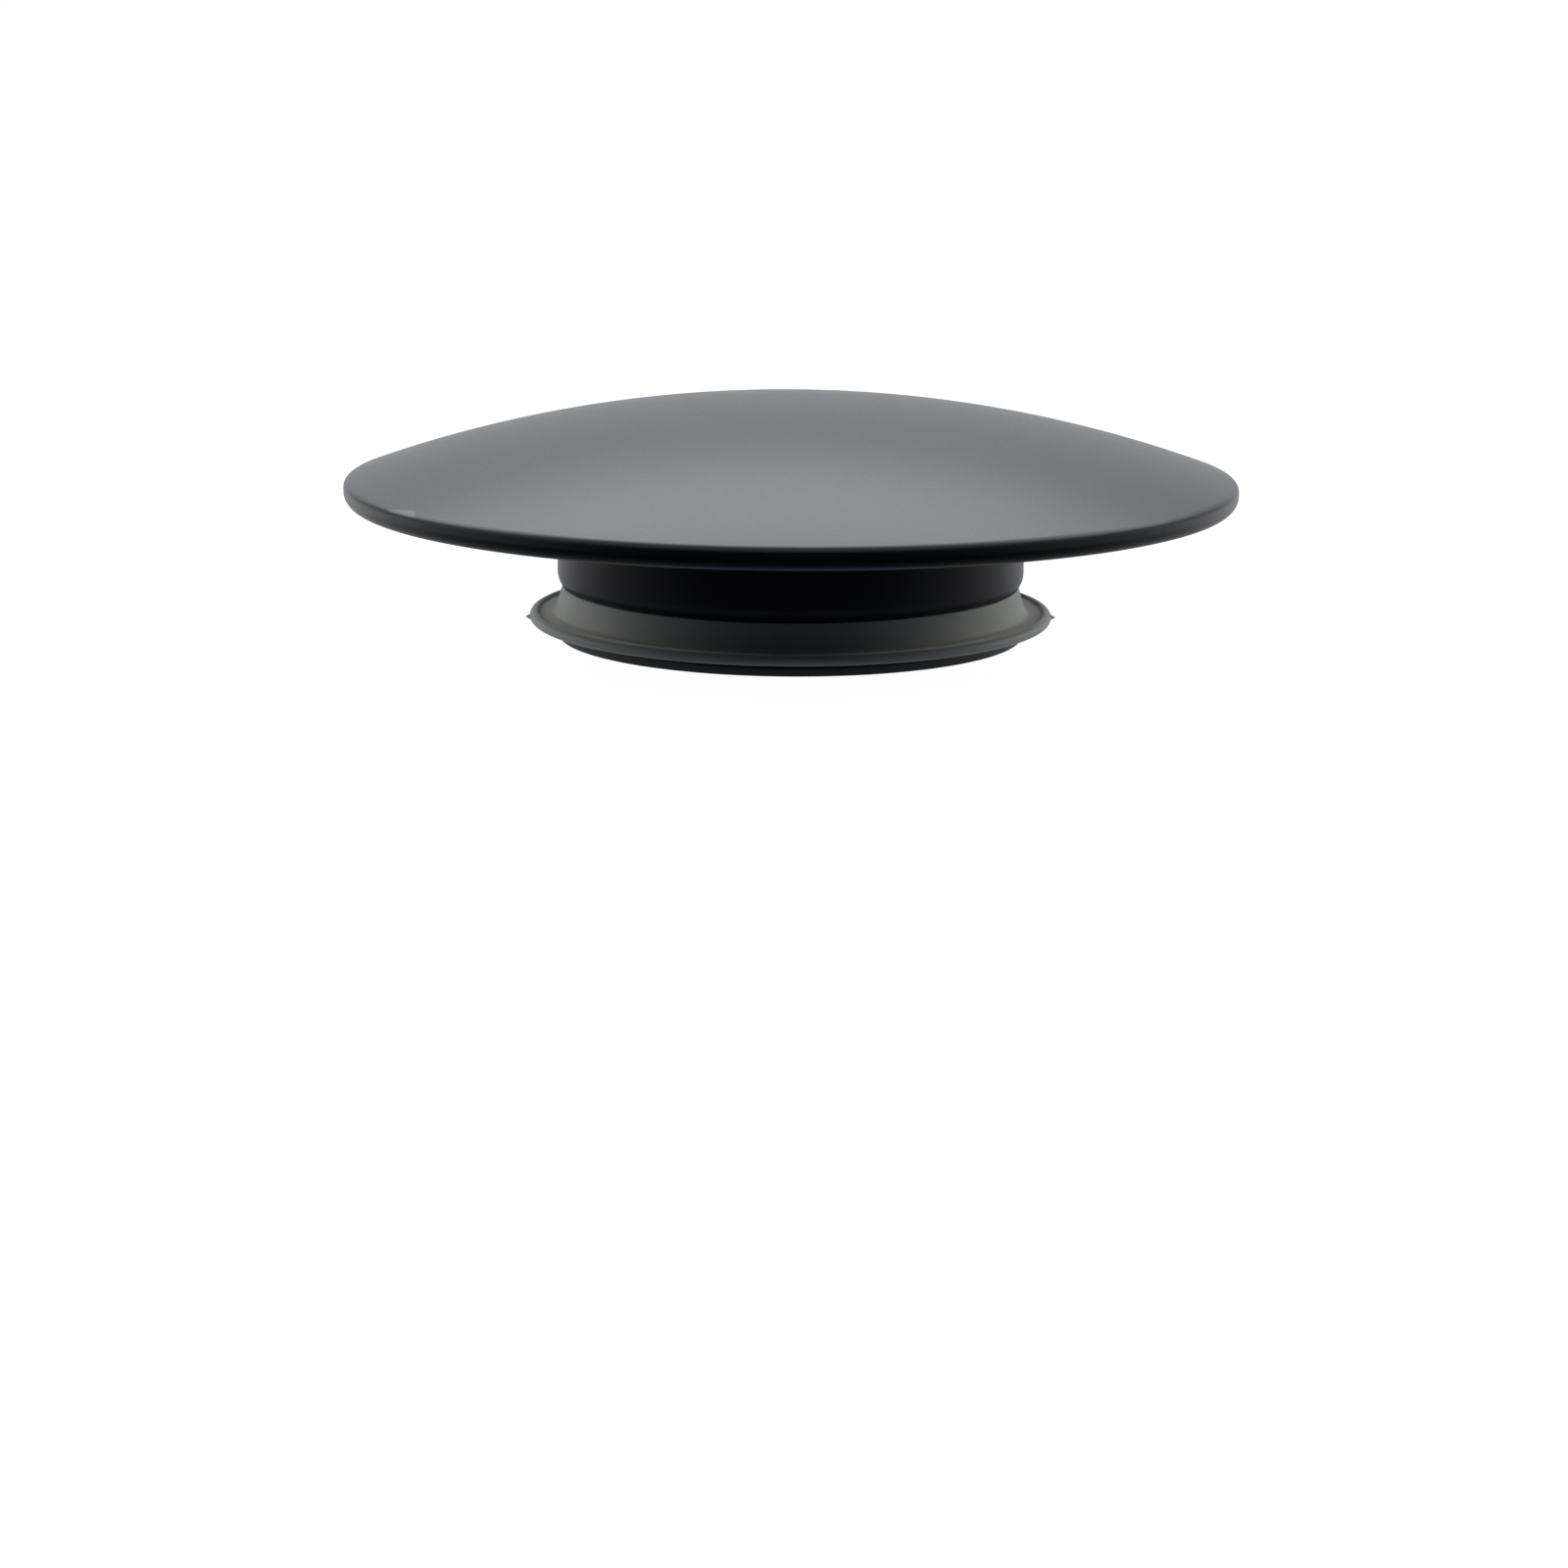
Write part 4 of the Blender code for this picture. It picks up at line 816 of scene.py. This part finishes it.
def coil_tree():
    """Winds a wire up a helix whose end turns lie closed: each point's height follows its turn."""
    tree = growing_tree("coil")
    socket(tree, "Geometry", "NodeSocketGeometry")
    for name in ("Turns", "Radius", "Wire Radius", "Bottom", "Height", "Dead Turns", "Dead Pitch"):
        socket(tree, name, "NodeSocketFloat", 1.0)
    socket(tree, "Points Each Turn", "NodeSocketInt", 48)
    socket(tree, "Material", "NodeSocketMaterial")
    given = add(tree, "NodeGroupInput").outputs
    spiral = add(tree, "GeometryNodeCurveSpiral", {"Resolution": given["Points Each Turn"],
                                                   "Rotations": given["Turns"],
                                                   "Start Radius": given["Radius"],
                                                   "End Radius": given["Radius"], "Height": 0.0})
    share = add(tree, "GeometryNodeSplineParameter").outputs["Factor"]
    turn = add(tree, "ShaderNodeMath", {0: share, 1: given["Turns"]},
               operation="MULTIPLY").outputs[0]
    dead_end = add(tree, "ShaderNodeMath", {0: given["Dead Turns"], 1: given["Dead Pitch"]},
                   operation="MULTIPLY").outputs[0]
    live_top = add(tree, "ShaderNodeMath", {0: given["Height"], 1: dead_end},
                   operation="SUBTRACT").outputs[0]
    live_end = add(tree, "ShaderNodeMath", {0: given["Turns"], 1: given["Dead Turns"]},
                   operation="SUBTRACT").outputs[0]
    low = add(tree, "ShaderNodeMath", {0: turn, 1: given["Dead Pitch"]},
              operation="MULTIPLY").outputs[0]
    live = add(tree, "ShaderNodeMapRange", {"Value": turn, "From Min": given["Dead Turns"],
                                            "From Max": live_end, "To Min": dead_end,
                                            "To Max": live_top}, clamp=False).outputs["Result"]
    left = add(tree, "ShaderNodeMath", {0: given["Turns"], 1: turn},
               operation="SUBTRACT").outputs[0]
    under_top = add(tree, "ShaderNodeMath", {0: left, 1: given["Dead Pitch"]},
                    operation="MULTIPLY").outputs[0]
    high = add(tree, "ShaderNodeMath", {0: given["Height"], 1: under_top},
               operation="SUBTRACT").outputs[0]
    lower = add(tree, "ShaderNodeMath", {0: low, 1: live, 2: DEAD_EASE},
                operation="SMOOTH_MAX").outputs[0]
    upper = add(tree, "ShaderNodeMath", {0: lower, 1: high, 2: DEAD_EASE},
                operation="SMOOTH_MIN").outputs[0]
    height = add(tree, "ShaderNodeMath", {0: upper, 1: given["Bottom"]},
                 operation="ADD").outputs[0]
    lift = add(tree, "ShaderNodeCombineXYZ", {"Z": height})
    path = add(tree, "GeometryNodeSetPosition", {"Geometry": spiral.outputs["Curve"],
                                                 "Offset": lift.outputs[0]})
    section = add(tree, "GeometryNodeCurvePrimitiveCircle", {"Resolution": WIRE_SIDES,
                                                             "Radius": given["Wire Radius"]})
    wire = add(tree, "GeometryNodeCurveToMesh", {"Curve": path.outputs["Geometry"],
                                                 "Profile Curve": section.outputs["Curve"],
                                                 "Fill Caps": True})
    smooth = add(tree, "GeometryNodeSetShadeSmooth", {"Geometry": wire.outputs["Mesh"]})
    return completed(tree, smooth.outputs["Geometry"], given["Material"])


spring_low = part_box("main_spring")[0].z
spring_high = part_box("main_spring")[1].z
spring = in_scene("coiled_spring", bpy.data.meshes.new("coiled_spring"))
grown(spring, coil_tree(), Turns=SPRING_TURNS, Radius=SPRING_R, Wire_Radius=WIRE_R,
      Bottom=spring_low + WIRE_R, Height=spring_high - spring_low - 2 * WIRE_R,
      Dead_Turns=DEAD_TURNS, Dead_Pitch=DEAD_PITCH, Material=drawn_wire())
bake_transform(spring)
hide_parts("main_spring")


# Cap gasket
# A flat ring punched from soft black rubber sheet. It lies round the cap's boss, and fills the
# room between the collar's web and the cap when the nut pulls them together.
SHEET_BLACK = "#343435"
CLOTH_WEAVE = 0.5 * MM
WEAVE_DEPTH = 0.01 * MM


def punched_rubber():
    """Calendered rubber sheet: dull black with the faint weave of the cloth it was rolled on."""
    material, tree, shader, place = finish_named("punched_rubber_sheet", SHEET_BLACK,
                                                 {"Roughness": 0.75})
    weave = add(tree, "ShaderNodeTexChecker", {"Vector": place, "Scale": 1 / CLOTH_WEAVE})
    relief = add(tree, "ShaderNodeBump", {"Height": weave.outputs["Fac"], "Strength": 0.6,
                                          "Distance": WEAVE_DEPTH})
    tree.links.new(relief.outputs["Normal"], shader.inputs["Normal"])
    return material


dress(punched_rubber(), "cap_gasket")


# Floor, lights and camera
# The photograph is a cut-out on white, taken from a little above the rim. The floor is a
# pale sheet that the camera sees plain, while the part sees painted light on it: a glow that is
# bright behind and beside the part and painted dark in front. A broad light hangs above and behind
# the cap, and the camera's side stays dark.
FLOOR_HALF = 30.0
FLOOR_PALE = "#fafafa"
FLOOR_SHADE = 0.07  # share of what the camera sees of the floor that a shadow can take away
FLOOR_GLOW = 1.1
FLOOR_LIGHT = 1.0
FLOOR_PAINTED_GLOW = "#f4f4f4"
FLOOR_UNLIT = "#121214"
UNLIT_FRONT = -0.044  # in front of here the floor's glow is painted dark, as painted shade on the camera's side
LIT_FRONT = 0.044
SIDE_LIT = 0.45  # share of the painted glow that the sheet keeps beside the part, where it is in front
SIDE_NEAR = 0.048
SIDE_FAR = 0.082
SIDE_UNLIT_FRONT = -0.098
SIDE_LIT_FRONT = -0.056
POOL_R = 0.040  # painted light: the sheet glows faintly where the cap stands over it
POOL_EDGE = 0.006
POOL_LIGHT = 0.10
POOL_BLUE = "#a2baff"
ROOM_BLUE = "#f0f4ff"
LIGHT_COOL = "#fdfeff"
LIGHT_WARM = "#fffff4"
CAMERA_DISTANCE = 0.300
CAMERA_HEIGHT_ANGLE = math.radians(8.28)
CAMERA_ROLL = math.radians(-0.35)
CAMERA_NEAR = 0.01
FOCAL_PIXELS = 4120
FRAME_PIXELS = 1600
RIM_CENTRE_PIXEL = (805.4, 496.6)
SENSOR = 36.0
ROOM_DARK_BELOW = math.sin(math.radians(20))
ROOM_LIT_ABOVE = math.sin(math.radians(34))
ROOM_LIGHT = 0.6
ROOM_FRONT_LIGHT = 0.012
ROOM_BACK_LIGHT = 0.52
ROOM_FRONT = -0.78  # how far a direction points to the back where the room starts to be lit
ROOM_BACK = 0.1


def pale_sheet():
    """A pale studio sheet. To the camera it is almost white with a faint shadow. What the part sees
    of it is a softer painted glow, not lit by the lamps: painted dark in front, where the camera's
    side is left dark."""
    material = bpy.data.materials.new("pale_studio_sheet")
    material.use_nodes = True
    tree = material.node_tree
    tree.nodes.clear()
    seen = add(tree, "ShaderNodeBsdfDiffuse", {"Color": linear(FLOOR_PALE)})
    glow = add(tree, "ShaderNodeEmission", {"Color": linear(FLOOR_PALE), "Strength": FLOOR_GLOW})
    bright = add(tree, "ShaderNodeMixShader", {0: FLOOR_SHADE, 1: glow.outputs[0],
                                               2: seen.outputs[0]})
    place = add(tree, "ShaderNodeTexCoord").outputs["Object"]
    along = add(tree, "ShaderNodeSeparateXYZ", {0: place})
    # Painted light and shade: what the part sees of the sheet is an emission, bright behind and
    # beside the part and dark in front.
    lit = add(tree, "ShaderNodeMapRange", {"Value": along.outputs["Y"], "From Min": UNLIT_FRONT,
                                           "From Max": LIT_FRONT}, interpolation_type="SMOOTHSTEP")
    aside = add(tree, "ShaderNodeMath", {0: along.outputs["X"]}, operation="ABSOLUTE")
    beside = add(tree, "ShaderNodeMapRange", {"Value": aside.outputs[0], "From Min": SIDE_NEAR,
                                              "From Max": SIDE_FAR, "To Max": SIDE_LIT},
                 interpolation_type="SMOOTHSTEP")
    front = add(tree, "ShaderNodeMapRange", {"Value": along.outputs["Y"],
                                             "From Min": SIDE_UNLIT_FRONT,
                                             "From Max": SIDE_LIT_FRONT},
                interpolation_type="SMOOTHSTEP")
    sides = add(tree, "ShaderNodeMath", {0: beside.outputs["Result"], 1: front.outputs["Result"]},
                operation="MULTIPLY")
    share = add(tree, "ShaderNodeMath", {0: lit.outputs["Result"], 1: sides.outputs[0]},
                operation="MAXIMUM")
    colour = add(tree, "ShaderNodeMix", {"Factor": share.outputs[0], 6: linear(FLOOR_UNLIT),
                                         7: linear(FLOOR_PAINTED_GLOW)}, data_type="RGBA")
    back = add(tree, "ShaderNodeEmission", {"Color": colour.outputs[2], "Strength": FLOOR_LIGHT})
    reach = add(tree, "ShaderNodeVectorMath", {0: place}, operation="LENGTH")
    near = add(tree, "ShaderNodeMapRange", {"Value": reach.outputs["Value"], "From Min": POOL_R,
                                            "From Max": POOL_R - POOL_EDGE, "To Max": POOL_LIGHT},
               interpolation_type="SMOOTHSTEP")
    # Painted light: a faint bluish glow on the sheet under the cap.
    pool = add(tree, "ShaderNodeEmission", {"Color": linear(POOL_BLUE),
                                            "Strength": near.outputs["Result"]})
    painted_glow = add(tree, "ShaderNodeAddShader", {0: back.outputs[0], 1: pool.outputs[0]})
    path = add(tree, "ShaderNodeLightPath")
    both = add(tree, "ShaderNodeMixShader", {0: path.outputs["Is Camera Ray"], 1: painted_glow.outputs[0],
                                             2: bright.outputs[0]})
    add(tree, "ShaderNodeOutputMaterial", {"Surface": both.outputs[0]})
    return material


sheet = bmesh.new()
bmesh.ops.create_grid(sheet, x_segments=1, y_segments=1, size=FLOOR_HALF)
floor_mesh = bpy.data.meshes.new("floor")
sheet.to_mesh(floor_mesh)
sheet.free()
floor_mesh.materials.append(pale_sheet())
floor = in_scene("floor", floor_mesh)


def softbox(name, centre, width, height, brightness, colour, reflected=True):
    """A flat light that faces the part. Its power makes it equally bright at any size. One that
    isn't reflected only fills the shade, as a light behind a screen does."""
    light = bpy.data.lights.new(name, "AREA")
    light.shape = "RECTANGLE"
    light.size = width
    light.size_y = height
    light.energy = brightness * math.pi * width * height
    light.color = linear(colour)[:3]
    lamp = in_scene(name, light)
    lamp.location = centre
    lamp.rotation_euler = (-Vector(centre)).to_track_quat("-Z", "Y").to_euler()
    lamp.visible_camera = False
    lamp.visible_glossy = reflected


softbox("light_above", centre=(0.05, 0.355, 0.69), width=2.3, height=0.80, brightness=1.95,
        colour=LIGHT_COOL)
softbox("light_above_middle", centre=(-0.02, 0.355, 0.68), width=0.5, height=0.80,
        brightness=0.8, colour=LIGHT_COOL)
softbox("light_behind", centre=(0.0, 1.1, 0.25), width=1.8, height=0.50, brightness=0.34,
        colour=LIGHT_COOL)
softbox("fill_left", centre=(-0.76, 0.46, 0.24), width=0.9, height=0.46, brightness=6.6,
        colour=LIGHT_WARM, reflected=False)
softbox("fill_right", centre=(0.76, 0.46, 0.24), width=0.9, height=0.46, brightness=7.0,
        colour=LIGHT_WARM, reflected=False)

world = bpy.data.worlds.new("studio")
bpy.context.scene.world = world
world.use_nodes = True
air = world.node_tree
direction = add(air, "ShaderNodeTexCoord").outputs["Generated"]
towards = add(air, "ShaderNodeSeparateXYZ", {0: direction})
low = add(air, "ShaderNodeMapRange", {"Value": towards.outputs["Y"], "From Min": ROOM_FRONT,
                                      "From Max": ROOM_BACK, "To Min": ROOM_FRONT_LIGHT,
                                      "To Max": ROOM_BACK_LIGHT})
room = add(air, "ShaderNodeMapRange", {"Value": towards.outputs["Z"], "From Min": ROOM_DARK_BELOW,
                                       "From Max": ROOM_LIT_ABOVE, "To Min": low.outputs["Result"],
                                       "To Max": ROOM_LIGHT})
path = add(air, "ShaderNodeLightPath")
level = add(air, "ShaderNodeMix", {"Factor": path.outputs["Is Camera Ray"],
                                   2: room.outputs["Result"], 3: FLOOR_GLOW})
air.links.new(level.outputs[0], air.nodes["Background"].inputs["Strength"])
tone = add(air, "ShaderNodeMix", {"Factor": path.outputs["Is Camera Ray"], 6: linear(ROOM_BLUE),
                                  7: linear(FLOOR_PALE)}, data_type="RGBA")
air.links.new(tone.outputs[2], air.nodes["Background"].inputs["Color"])

rise = CAMERA_HEIGHT_ANGLE
rim_centre = Vector((0, 0, rim_height))
stand = rim_centre + CAMERA_DISTANCE * Vector((0, -math.cos(rise), math.sin(rise)))
forward = Vector((0, math.cos(rise), -math.sin(rise)))
side = Vector((1, 0, 0))
upward = Vector((0, math.sin(rise), math.cos(rise)))
aside, aloft = ((pixel - FRAME_PIXELS / 2) / FOCAL_PIXELS for pixel in RIM_CENTRE_PIXEL)
looking = (forward - side * aside + upward * aloft).normalized()
side = looking.cross(upward).normalized()
upward = side.cross(looking)
turned_side = math.cos(CAMERA_ROLL) * side - math.sin(CAMERA_ROLL) * upward
turned_up = math.sin(CAMERA_ROLL) * side + math.cos(CAMERA_ROLL) * upward
lens = bpy.data.cameras.new("camera")
lens.sensor_width = SENSOR
lens.lens = FOCAL_PIXELS / FRAME_PIXELS * SENSOR
lens.clip_start = CAMERA_NEAR
camera = in_scene("camera", lens)
axes = Matrix((turned_side, turned_up, -looking)).transposed().to_4x4()
camera.matrix_world = Matrix.Translation(stand) @ axes
bpy.context.scene.camera = camera

bpy.context.scene.view_settings.view_transform = "Standard"
